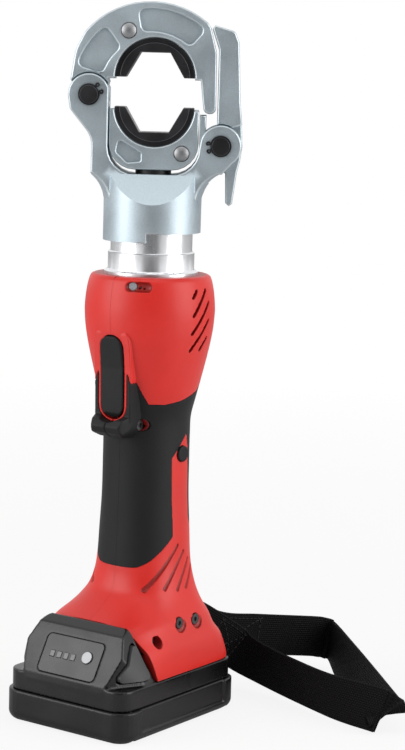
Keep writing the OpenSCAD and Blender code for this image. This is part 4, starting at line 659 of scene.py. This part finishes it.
def grained(name, colour, roughness, grain, depth, metallic=0.0, contrast=0.12, mottle=60.0,
            coat=0.0, spread=0.08, specular=0.5, speck=0.0, rim=None, hollow=None):
    """A finish with fine grain and slow colour change.

    Where asked, it has specks, a painted highlight on rounded rims and painted shade in grooves.
    """
    material, tree, shader = new_material(name)
    put(shader, {"Metallic": metallic, "Specular IOR Level": specular, "Coat Weight": coat,
                 "Coat Roughness": COAT_ROUGHNESS})
    place = tree.nodes.new("ShaderNodeTexCoord").outputs["Object"]
    surface = place_group(tree, grain_group(), place, {"Grain": grain, "Mottle": mottle})
    slow, fine = surface.outputs["Mottle"], surface.outputs["Height"]
    tone = ramp(tree, slow, *MOTTLE, 0, 1)
    if speck:
        fleck = ramp(tree, fine, *SPECK, 0, speck)
        tone = math_node(tree, "ADD", math_node(tree, "MULTIPLY", tone, 1 - speck), fleck)
    base = mix_colours(tree, tone, shade(colour, 1 - contrast), shade(colour, 1 + contrast))
    rough = ramp(tree, slow, *MOTTLE, roughness - spread, roughness + spread)
    # Painted highlight: rounded rims get a lighter colour in patches, and a little less roughness
    if rim:
        patchy = ramp(tree, slow, *PATCH, *PATCHY)
        highlight_patches = math_node(tree, "MULTIPLY", mark(tree, "rim"), patchy)
        base = mix_colours(tree, highlight_patches, base, rim)
        gloss = tree.nodes.new("ShaderNodeMix")
        gloss.inputs[3].default_value = roughness * RIM_GLOSS
        tree.links.new(highlight_patches, gloss.inputs[0])
        tree.links.new(rough, gloss.inputs[2])
        rough = gloss.outputs[0]
    # Painted shade: a darker colour in grooves and seats, as deep as the point attribute says
    if hollow:
        base = mix_colours(tree, mark(tree, "hollow"), base, hollow)
    add_bump(tree, fine, depth)
    tree.links.new(base, shader.inputs["Base Color"])
    tree.links.new(rough, shader.inputs["Roughness"])
    return material


RING_PITCH, RING_DEPTH, RING_WAVER = 0.9 * MM, 6 * MICRON, 0.4


def add_rings(tree):
    """Fine turned rings round the tool axis."""
    place = next(n for n in tree.nodes if n.bl_idname == "ShaderNodeTexCoord")
    bump = next(n for n in tree.nodes if n.bl_idname == "ShaderNodeBump")
    rings = tree.nodes.new("ShaderNodeTexWave")
    rings.bands_direction = "Z"
    put(rings, {"Scale": 1 / RING_PITCH, "Distortion": RING_WAVER})
    tree.links.new(place.outputs["Object"], rings.inputs["Vector"])
    add_bump(tree, rings.outputs["Fac"], RING_DEPTH, under=bump.outputs[0])


def woven(name, colour):
    """Black webbing: ribs and picks on the strap's own length and width."""
    material, tree, shader = new_material(name)
    put(shader, {"Specular IOR Level": WEAVE_SHEEN})
    track = tree.nodes.new("ShaderNodeUVMap")
    track.uv_map = "Track"
    weave = place_group(tree, weave_group(), track.outputs[0], WEAVE)
    # Painted shade and highlight: the colour darkens in the weave's gaps and lightens on its ribs,
    # by their height
    gap_shade, light = (shade(colour, amount) for amount in WEAVE_PAINTED_LIGHT)
    base = mix_colours(tree, weave.outputs["Height"], gap_shade, light)
    rough = ramp(tree, weave.outputs["Gap"], 0, 1, *WEAVE_ROUGHNESS)
    add_bump(tree, weave.outputs["Height"], WEAVE_DEPTH, WEAVE_STRENGTH)
    tree.links.new(base, shader.inputs["Base Color"])
    tree.links.new(rough, shader.inputs["Roughness"])
    return material


# Finishes: a colour or its setting's name, its shade, roughness, grains in a metre, their depth in
# microns, and other values; the colours of the painted rim highlight and of the painted shade in
# grooves are a setting's name with its shade
FINISHES = {
    # The red shell gets painted shade in its grooves and seats
    "Red shell": ("red", 1, 0.42, 1700, 22, dict(
        contrast=0.05, mottle=35, spread=0.05, specular=0.45, hollow=("red", 0.42))),
    "Soft grip": ("grip", 1, 0.56, 1500, 40, dict(
        contrast=0.15, mottle=45, spread=0.06, specular=0.25)),
    # The satin head gets a painted highlight in the rim colour on its rounded edges
    "Satin head": ("head", 1, 0.47, 1300, 16, dict(
        metallic=0.9, contrast=0.14, mottle=40, spread=0.06, speck=0.5, rim=("rim", 1))),
    "Turned neck": ("neck", 1, 0.27, 900, 2, dict(
        metallic=1.0, contrast=0.05, mottle=25, spread=0.05)),
    # Black oxide gets a painted highlight, five times its own colour, on its rounded edges
    "Black oxide": ("oxide", 1, 0.38, 1800, 12, dict(
        metallic=0.4, contrast=0.25, spread=0.1, rim=("oxide", 5))),
    "Bright steel": ("neck", 0.8, 0.26, 1500, 4, dict(metallic=1.0, contrast=0.08)),
    "Satin steel": ("neck", 0.34, 0.42, 1500, 8, dict(metallic=0.9, contrast=0.15)),
    "Dark steel": ("neck", 0.14, 0.38, 1500, 8, dict(metallic=0.9, contrast=0.2)),
    "Pack shell": ("pack", 1, 0.28, 1600, 18, dict(contrast=0.2, mottle=50, specular=0.42)),
    "Pack base": ("pack", 0.9, 0.33, 1400, 24, dict(contrast=0.25, mottle=50, specular=0.4)),
    "Release grey": ("release", 1, 0.42, 1500, 20, dict(
        contrast=0.15, spread=0.07, specular=0.35)),
    "Gauge face": ("gauge", 1, 0.28, 2000, 3, dict(contrast=0.2, spread=0.06)),
    "Gauge bar": ((0.16, 0.16, 0.165), 1, 0.3, 2000, 3, dict(contrast=0.1)),
    "Clear lens": ((0.55, 0.58, 0.62), 1, 0.08, 400, 2, dict(contrast=0.02, spread=0.03)),
    "Thread": ("webbing", 2.2, 0.7, 3000, 40, dict(contrast=0.3)),
    "Board": ((0.03, 0.16, 0.06), 1, 0.4, 900, 10, dict(contrast=0.3)),
    "Brass": ((0.72, 0.5, 0.2), 1, 0.3, 1200, 6, dict(metallic=1.0)),
    "Rubber": ((0.02, 0.02, 0.021), 1, 0.7, 1500, 30, dict(contrast=0.2)),
    "Cell wrap": ((0.06, 0.2, 0.45), 1, 0.3, 800, 5, dict(coat=0.3)),
}
LENS_CLEARNESS = 0.35


def finish(name):
    """The named finish of the tool, made once."""
    if name in bpy.data.materials:
        return bpy.data.materials[name]
    colours = bpy.context.scene.press_colours
    if name == "Webbing":
        return woven(name, colours.webbing)

    def tint(source, amount):
        return shade(getattr(colours, source) if isinstance(source, str) else source, amount)

    source, amount, roughness, grain, depth, others = FINISHES[name]
    others = {key: tint(*value) if key in ("rim", "hollow") else value
              for key, value in others.items()}
    material = grained(name, tint(source, amount), roughness, grain, depth * MICRON, **others)
    if name == "Turned neck":
        add_rings(material.node_tree)
    if name == "Clear lens":
        put(material.node_tree.nodes["Principled BSDF"], {"Transmission Weight": LENS_CLEARNESS})
    return material


# Operators

class PRESSTOOL_OT_head(Operator):
    """Rounds and paints the forged head: yoke, jaw, latch and die carrier"""
    bl_idname = "press_tool.head"
    bl_label = "Head"

    def execute(self, context):
        sizes = context.scene.press_sizes
        front = Vector((0, 1, 0))
        for node in ("head_yoke", "upper_jaw", "latch", "die_carrier"):
            piece = rounded_copy(node, sizes.head_edge, sizes.head_weld, front, clamp=False)
            if node == "head_yoke":
                turn_collar_normals(piece.data)
            finish_piece(piece, "Satin head", node)
        return {"FINISHED"}


class PRESSTOOL_OT_hardware(Operator):
    """Rounds and paints the dies, pins, snap rings, buttons and screws"""
    bl_idname = "press_tool.hardware"
    bl_label = "Dies and hardware"

    def execute(self, context):
        edge = context.scene.press_sizes.fine_edge
        pins = ("jaw_pin", "latch_pin", "jaw_pin_rings", "latch_pin_rings", "stop_pin")
        bright = ("strap_pin", "trigger_pin", "battery_screws")
        finish_pieces(rounded_copy, ("upper_die", "lower_die"), "Black oxide", edge)
        finish_pieces(rounded_copy, pins, "Black oxide", edge * PIN_EDGE)
        finish_pieces(plain_copy, ("upper_die_button", "lower_die_button"), "Satin steel")
        finish_pieces(plain_copy, ("housing_screws",), "Dark steel")
        finish_pieces(rounded_copy, bright, "Bright steel", edge * PIN_EDGE)
        return {"FINISHED"}


class PRESSTOOL_OT_neck(Operator):
    """Rounds and paints the turned neck"""
    bl_idname = "press_tool.neck"
    bl_label = "Neck"

    def execute(self, context):
        edge = context.scene.press_sizes.fine_edge
        finish_pieces(rounded_copy, ("neck_tube",), "Turned neck", edge)
        return {"FINISHED"}


class PRESSTOOL_OT_shells(Operator):
    """Softens the edges of the handle shells and the grip and paints them"""
    bl_idname = "press_tool.shells"
    bl_label = "Handle shells"

    def execute(self, context):
        sizes = context.scene.press_sizes
        for node, look in (("housing_left", "Red shell"), ("housing_right", "Red shell"),
                           ("grip_left", "Soft grip"), ("grip_right", "Soft grip")):
            shell = softened_copy(node, sizes.voxel, sizes.soften, SHELL_TRIANGLES)
            draw_onto_form(shell.data, sizes.snap, sizes.seam)
            finish_piece(shell, look, node)
        return {"FINISHED"}


class PRESSTOOL_OT_controls(Operator):
    """Finishes the trigger, the side button and the work light"""
    bl_idname = "press_tool.controls"
    bl_label = "Trigger and light"

    def execute(self, context):
        sizes = context.scene.press_sizes
        finish_pieces(softened_copy, ("trigger", "side_button"), "Soft grip", sizes.voxel,
                      sizes.soften)
        finish_pieces(rounded_copy, ("led_lens",), "Clear lens", sizes.fine_edge)
        return {"FINISHED"}


class PRESSTOOL_OT_pack(Operator):
    """Finishes the battery pack with its gauge and release buttons"""
    bl_idname = "press_tool.pack"
    bl_label = "Battery pack"

    def execute(self, context):
        sizes = context.scene.press_sizes
        edge = sizes.fine_edge
        shoe = softened_copy("battery_shoe", sizes.shoe_voxel, sizes.soften, PACK_TRIANGLES)
        round_shoe_corners(shoe.data)
        finish_piece(shoe, "Pack base", "battery_shoe")
        finish_pieces(softened_copy, ("battery_cover",), "Pack shell", sizes.shoe_voxel,
                      2 * sizes.soften, PACK_TRIANGLES)
        releases = ("release_button_left", "release_button_right")
        finish_pieces(rounded_copy, releases, "Release grey", edge * RELEASE_EDGE)
        finish_pieces(rounded_copy, ("gauge_window",), "Gauge face", edge)
        finish_pieces(rounded_copy, ("gauge_lights",), "Gauge bar", edge * LIGHTS_EDGE)
        finish_pieces(rounded_copy, ("gauge_button",), "Satin steel", edge)
        return {"FINISHED"}


INSIDE = {
    "Black oxide": ("ram",),
    "Bright steel": ("swivel_ring", "pump_plunger", "cam_shaft", "cam_bearing", "motor_shaft",
                     "latch_spring", "upper_button_spring", "lower_button_spring",
                     "return_spring", "trigger_spring", "release_springs", "cell_straps",
                     "gear_case", "motor_can", "pump_block"),
    "Brass": ("gland_nut", "battery_terminals"),
    "Rubber": ("ram_seal", "oil_bladder"),
    "Pack base": ("trigger_switch", "cell_holder", "terminal_block"),
    "Board": ("control_board", "battery_board"),
    "Cell wrap": ("battery_cells",),
}


class PRESSTOOL_OT_inside(Operator):
    """Paints the pieces inside the handle, the head and the pack"""
    bl_idname = "press_tool.inside"
    bl_label = "Inner pieces"

    def execute(self, context):
        for look, nodes in INSIDE.items():
            finish_pieces(plain_copy, nodes, look)
        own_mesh(bpy.data.objects["return_spring_look"])
        return {"FINISHED"}


# Wrist strap: stations as shares of its reach, of its reach and of its width, and its lean
STRAP = ((0, 0.148, 1.79, 0, 0), (-0.0155, 0.155, 1.79, 0, 0), (-0.021, 0.17, 1.79, 0, 0),
         (-0.022, 0.195, 1.79, 0, 0), (-0.012, 0.245, 1.76, 0, 0), (0.064, 0.42, 1.27, 0, 0),
         (0.118, 0.62, 1.04, 0, 0), (0.217, 0.853, 0.82, 0, 0), (0.238, 0.905, 0.75, 0, 0),
         (0.257, 0.932, 0.69, 0.03, 0.02), (0.29, 0.918, 0.66, 0.08, 0.06),
         (0.467, 0.742, 0.55, 0.34, 0.24), (0.707, 0.505, 0.45, 0.69, 0.49),
         (0.885, 0.328, 0.42, 1.05, 0.75), (0.912, 0.302, 0.47, 1.05, 0.75),
         (0.908, 0.283, 0.52, 0.9, 0.6), (0.87, 0.282, 0.545, 0.6, 0.35),
         (0.67, 0.306, 0.57, 0.06, 0.04), (0.429, 0.397, 0.58, 0, 0), (0.269, 0.438, 0.68, 0, 0),
         (0.17, 0.435, 0.86, 0, 0), (0.12, 0.395, 1.14, 0, 0), (0.047, 0.26, 1.74, 0, 0),
         (0.0235, 0.2, 1.79, 0, 0), (0.021, 0.17, 1.79, 0, 0), (0.0155, 0.155, 1.79, 0, 0))
STRAP_STEPS = 8
# Cross section of the webbing as shares of half its width and half its thickness
STRAP_SECTION = ((-1, -0.3), (-0.975, -0.85), (-0.93, -1), (-0.5, -1), (0, -1), (0.5, -1),
                 (0.93, -1), (0.975, -0.85), (1, -0.3), (1, 0.3), (0.975, 0.85), (0.93, 1),
                 (0.5, 1), (0, 1), (-0.5, 1), (-0.93, 1), (-0.975, 0.85), (-1, 0.3))


def strap_frames(sizes):
    """Points along the strap with the directions of its width and of its face."""
    path = spline(np.array(STRAP, dtype=float), STRAP_STEPS, closed=True)
    scale = (sizes.strap_reach, sizes.strap_reach, sizes.webbing_width)
    points = path[:, :3] * scale @ HANDLE_TURN
    leans = np.column_stack((path[:, 3:], np.ones(len(path)))) @ HANDLE_TURN
    run = unit(np.roll(points, -1, axis=0) - np.roll(points, 1, axis=0))
    rise = unit(leans - run * (leans * run).sum(axis=1, keepdims=True))
    return list(zip(points, rise, np.cross(rise, run)))


class PRESSTOOL_OT_strap(Operator):
    """Weaves the wrist strap as one loop of webbing round its pin"""
    bl_idname = "press_tool.strap"
    bl_label = "Wrist strap"

    def execute(self, context):
        sizes = context.scene.press_sizes
        frames = strap_frames(sizes)
        half_w, half_t = sizes.webbing_width / 2, sizes.webbing_thickness / 2
        sides, count = len(STRAP_SECTION), len(frames)
        verts = [tuple(point + rise * (s[0] * half_w) + face * (s[1] * half_t))
                 for point, rise, face in frames for s in STRAP_SECTION]
        # Corners of each face as row and side; the last row joins the first
        corners = [((i, k), (i, (k + 1) % sides), (i + 1, (k + 1) % sides), (i + 1, k))
                   for i in range(count) for k in range(sides)]
        faces = [[row % count * sides + side for row, side in face] for face in corners]
        mesh = bpy.data.meshes.new("wrist_strap_webbing")
        mesh.from_pydata(verts, [], faces)
        gaps = [np.linalg.norm(frames[(i + 1) % count][0] - frames[i][0]) for i in range(count)]
        along = np.concatenate(([0], np.cumsum(gaps))) / MM
        track = mesh.uv_layers.new(name="Track")
        for face in mesh.polygons:
            for loop, (row, side) in zip(face.loop_indices, corners[face.index]):
                track.data[loop].uv = (along[row], STRAP_SECTION[side][0] * half_w / MM)
        work = bmesh.new()
        work.from_mesh(mesh)
        bmesh.ops.recalc_face_normals(work, faces=work.faces)
        work.to_mesh(mesh)
        work.free()
        mesh.shade_smooth()
        strap = finish_piece(new_object("wrist_strap_webbing", mesh), "Webbing", "wrist_strap")
        return {"FINISHED"}


STITCH_SIDES = 8


def stitch_tree():
    """Geometry nodes that set one stitch along every segment of a path."""
    tree = bpy.data.node_groups.new("Stitch row", "GeometryNodeTree")
    for label, kind in (("Path", "Geometry"), ("Pitch", "Float"), ("Length", "Float"),
                        ("Radius", "Float"), ("Thread", "Material")):
        tree.interface.new_socket(label, in_out="INPUT", socket_type="NodeSocket" + kind)
    tree.interface.new_socket("Stitches", in_out="OUTPUT", socket_type="NodeSocketGeometry")
    add = tree.nodes.new
    into, out = add("NodeGroupInput"), add("NodeGroupOutput")
    curve = add("GeometryNodeMeshToCurve")
    spaced = add("GeometryNodeResampleCurve")
    spaced.mode = "LENGTH"
    line = add("GeometryNodeMeshCylinder")
    line.inputs["Vertices"].default_value = STITCH_SIDES
    aim = add("FunctionNodeAlignEulerToVector")
    aim.axis = "Z"
    tangent = add("GeometryNodeInputTangent")
    copies = add("GeometryNodeInstanceOnPoints")
    real = add("GeometryNodeRealizeInstances")
    paint = add("GeometryNodeSetMaterial")
    for label, node, slot in (("Path", curve, 0), ("Pitch", spaced, "Length"),
                              ("Length", line, "Depth"), ("Radius", line, "Radius"),
                              ("Thread", paint, "Material")):
        tree.links.new(into.outputs[label], node.inputs[slot])
    for source, node, slot in ((curve, spaced, "Curve"), (tangent, aim, "Vector"),
                               (spaced, copies, "Points"), (line, copies, "Instance"),
                               (aim, copies, "Rotation"), (copies, real, 0),
                               (real, paint, "Geometry"), (paint, out, 0)):
        tree.links.new(source.outputs[0], node.inputs[slot])
    return tree


def set_inputs(modifier, values):
    """Sets geometry nodes inputs by their sockets' identifiers."""
    for item in modifier.node_group.interface.items_tree:
        if item.item_type == "SOCKET" and item.in_out == "INPUT" and item.name in values:
            modifier[item.identifier] = values[item.name]


# Box stitch on each leg of the strap near its pin: first and last frame as shares of the loop
STITCH_SPANS = ((0.19, 0.235), (0.79, 0.825))
# Share of the half width at which the seam runs, and stitch spacing in stitch lengths
STITCH_EDGE, STITCH_PITCH = 0.78, 1.35


class PRESSTOOL_OT_stitches(Operator):
    """Sews box stitches on the webbing where it leaves the handle"""
    bl_idname = "press_tool.stitches"
    bl_label = "Strap stitches"

    def execute(self, context):
        sizes = context.scene.press_sizes
        frames = strap_frames(sizes)
        reach = sizes.webbing_width / 2 * STITCH_EDGE
        verts, edges = [], []

        def run_path(spots):
            start = len(verts)
            verts.extend(spots)
            edges.extend((start + k, start + k + 1) for k in range(len(spots) - 1))

        for first, last in STITCH_SPANS:
            picks = frames[int(first * len(frames)):int(last * len(frames)) + 1]
            slant = np.linspace(-1, 1, len(picks))
            for lift in (-sizes.webbing_thickness / 2, sizes.webbing_thickness / 2):
                def seam(shares):
                    return [tuple(point + rise * (share * reach) + face * lift)
                            for share, (point, rise, face) in zip(shares, picks)]

                low, high = seam([-1] * len(picks)), seam([1] * len(picks))
                run_path(low + high[::-1] + low[:1])
                run_path(seam(slant))
                run_path(seam(-slant))
        mesh = bpy.data.meshes.new("strap_stitches")
        mesh.from_pydata(verts, edges, [])
        obj = new_object("strap_stitches", mesh)
        sew = obj.modifiers.new("Stitches", "NODES")
        sew.node_group = stitch_tree()
        set_inputs(sew, {"Pitch": sizes.stitch_length * STITCH_PITCH,
                         "Length": sizes.stitch_length, "Radius": sizes.stitch_radius,
                         "Thread": finish("Thread")})
        bake_modifiers(obj)
        obj.data.shade_smooth()
        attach(obj, "handle")
        return {"FINISHED"}


# Stage: camera, floor, dark card in front of the tool and softboxes, in metres

SENSOR_WIDTH, CLIP_END = 36, 200
FLOOR_HALF, FLOOR_GREY, FLOOR_ROUGHNESS, FLOOR_SHEEN = 60.0, 0.86, 0.9, 0.1
# White share of the floor near the tool, and the distances between which it fades to plain white
FLOOR_GLOW, FADE = 0.86, (0.3, 1.3)
CARD_HALF, CARD_PLACE, CARD_GREY, CARD_ROUGHNESS = (0.9, 1.0), (0.05, -2.2, 0.75), 0.16, 1.0
# Softboxes: place, aim, size and the setting of their power
SOFTBOXES = {
    "left_softbox": ((-1.25, -0.55, 0.55), (0, 0, 0.22), (0.9, 1.3), "side_power"),
    "right_softbox": ((1.25, -0.45, 0.55), (0, 0, 0.22), (0.9, 1.3), "side_power"),
    "top_softbox": ((0, -0.2, 1.6), (0, 0, 0.2), (1.2, 1.0), "top_power"),
}


def add_camera(scene, stage):
    """The camera, pitched down and rolled."""
    camera = bpy.data.cameras.new("Camera")
    camera.lens = stage.lens
    camera.sensor_width = SENSOR_WIDTH
    camera.clip_end = CLIP_END
    view = new_object("Camera", camera)
    down, lean = stage.camera_pitch, stage.camera_roll
    ahead = Vector((0, math.cos(down), -math.sin(down)))
    above = Vector((0, math.sin(down), math.cos(down)))
    level = Vector((1, 0, 0))
    right = level * math.cos(lean) + above * math.sin(lean)
    up = above * math.cos(lean) - level * math.sin(lean)
    axes = Matrix((right, up, -ahead)).transposed().to_4x4()
    view.matrix_world = Matrix.Translation(stage.camera_place) @ axes
    scene.camera = view


def plate(name, look, corners, grey, roughness):
    """A flat plate of four corners in plain grey, and the tree and shader of its material."""
    mesh = bpy.data.meshes.new(name)
    mesh.from_pydata(corners, [], [(0, 1, 2, 3)])
    material, tree, shader = new_material(look)
    put(shader, {"Base Color": (grey, grey, grey, 1), "Roughness": roughness})
    mesh.materials.append(material)
    return new_object(name, mesh), tree, shader


def add_floor():
    """A pale floor that the camera sees almost white."""
    h = FLOOR_HALF
    corners = [(-h, -h, 0), (h, -h, 0), (h, h, 0), (-h, h, 0)]
    floor, tree, shader = plate("floor", "Pale floor", corners, FLOOR_GREY, FLOOR_ROUGHNESS)
    put(shader, {"Specular IOR Level": FLOOR_SHEEN})
    far = tree.nodes.new("ShaderNodeVectorMath")
    far.operation = "LENGTH"
    tree.links.new(tree.nodes.new("ShaderNodeTexCoord").outputs["Object"], far.inputs[0])
    glowing = ramp(tree, far.outputs["Value"], *FADE, FLOOR_GLOW, 1.0)
    rays = tree.nodes.new("ShaderNodeLightPath").outputs
    part = math_node(tree, "MULTIPLY", rays["Is Camera Ray"], glowing)
    glow = tree.nodes.new("ShaderNodeEmission")
    out = tree.nodes["Material Output"]
    mix_shaders(tree, part, shader.outputs[0], glow.outputs[0], out)
    return floor


def add_card():
    """A dark card that only the tool's metal and gloss reflect."""
    w, t = CARD_HALF
    x, y, z = CARD_PLACE
    corners = [(x - w, y, z - t), (x + w, y, z - t), (x + w, y, z + t), (x - w, y, z + t)]
    card, _, _ = plate("dark_card", "Dark card", corners, CARD_GREY, CARD_ROUGHNESS)
    card.visible_camera = card.visible_shadow = card.visible_diffuse = False
    return card


def softbox(name, place, aim, size, power):
    """A soft area light."""
    lamp = bpy.data.lights.new(name, "AREA")
    lamp.shape = "RECTANGLE"
    lamp.size, lamp.size_y = size
    lamp.energy = power
    obj = new_object(name, lamp)
    obj.location = place
    obj.rotation_euler = (Vector(aim) - Vector(place)).to_track_quat("-Z", "Y").to_euler()


def add_world(scene, fill):
    """Light from all round, shown white to the camera, in reflections and through glass."""
    world = bpy.data.worlds.new("Studio")
    scene.world = world
    world.use_nodes = True
    tree = world.node_tree
    lit, white = tree.nodes["Background"], tree.nodes.new("ShaderNodeBackground")
    for light, strength in ((lit, fill), (white, 1.0)):
        put(light, {"Color": (1, 1, 1, 1), "Strength": strength})
    rays = tree.nodes.new("ShaderNodeLightPath").outputs
    seen = math_node(tree, "MAXIMUM", rays["Is Camera Ray"], rays["Is Glossy Ray"])
    seen = math_node(tree, "MAXIMUM", seen, rays["Is Transmission Ray"])
    mix_shaders(tree, seen, lit.outputs[0], white.outputs[0], tree.nodes["World Output"])


class PRESSTOOL_OT_stage(Operator):
    """Sets the camera, the pale floor and the soft studio light"""
    bl_idname = "press_tool.stage"
    bl_label = "Stage"

    def execute(self, context):
        scene = context.scene
        stage = scene.press_stage
        add_camera(scene, stage)
        scene.view_settings.view_transform = "Standard"
        floor, card = add_floor(), add_card()
        for name, (place, aim, size, power) in SOFTBOXES.items():
            softbox(name, place, aim, size, getattr(stage, power))
        add_world(scene, stage.fill)
        return {"FINISHED"}


PIECES = (PRESSTOOL_OT_stage, PRESSTOOL_OT_head, PRESSTOOL_OT_hardware, PRESSTOOL_OT_neck,
          PRESSTOOL_OT_shells, PRESSTOOL_OT_controls, PRESSTOOL_OT_pack, PRESSTOOL_OT_inside,
          PRESSTOOL_OT_strap, PRESSTOOL_OT_stitches)


class PRESSTOOL_PT_panel(Panel):
    """Lists the tool's pieces and their settings"""
    bl_label = "Press tool"
    bl_idname = "PRESSTOOL_PT_panel"
    bl_space_type = "VIEW_3D"
    bl_region_type = "UI"
    bl_category = "Press tool"

    def draw(self, context):
        scene = context.scene
        for piece in PIECES:
            self.layout.operator(piece.bl_idname)
        for settings in (scene.press_sizes, scene.press_colours, scene.press_stage):
            box = self.layout.box()
            for name in settings.__annotations__:
                box.prop(settings, name)


CLASSES = (ToolSizes, ToolColours, StageSettings) + PIECES + (PRESSTOOL_PT_panel,)


def register():
    for cls in CLASSES:
        bpy.utils.register_class(cls)
    bpy.types.Scene.press_sizes = PointerProperty(type=ToolSizes)
    bpy.types.Scene.press_colours = PointerProperty(type=ToolColours)
    bpy.types.Scene.press_stage = PointerProperty(type=StageSettings)


def unregister():
    del bpy.types.Scene.press_stage
    del bpy.types.Scene.press_colours
    del bpy.types.Scene.press_sizes
    for cls in reversed(CLASSES):
        bpy.utils.unregister_class(cls)


def main():
    """Registers the add-on and builds every piece."""
    register()
    for piece in PIECES:
        group_name, call = piece.bl_idname.split(".")
        getattr(getattr(bpy.ops, group_name), call)()


if __name__ == "__main__":
    main()
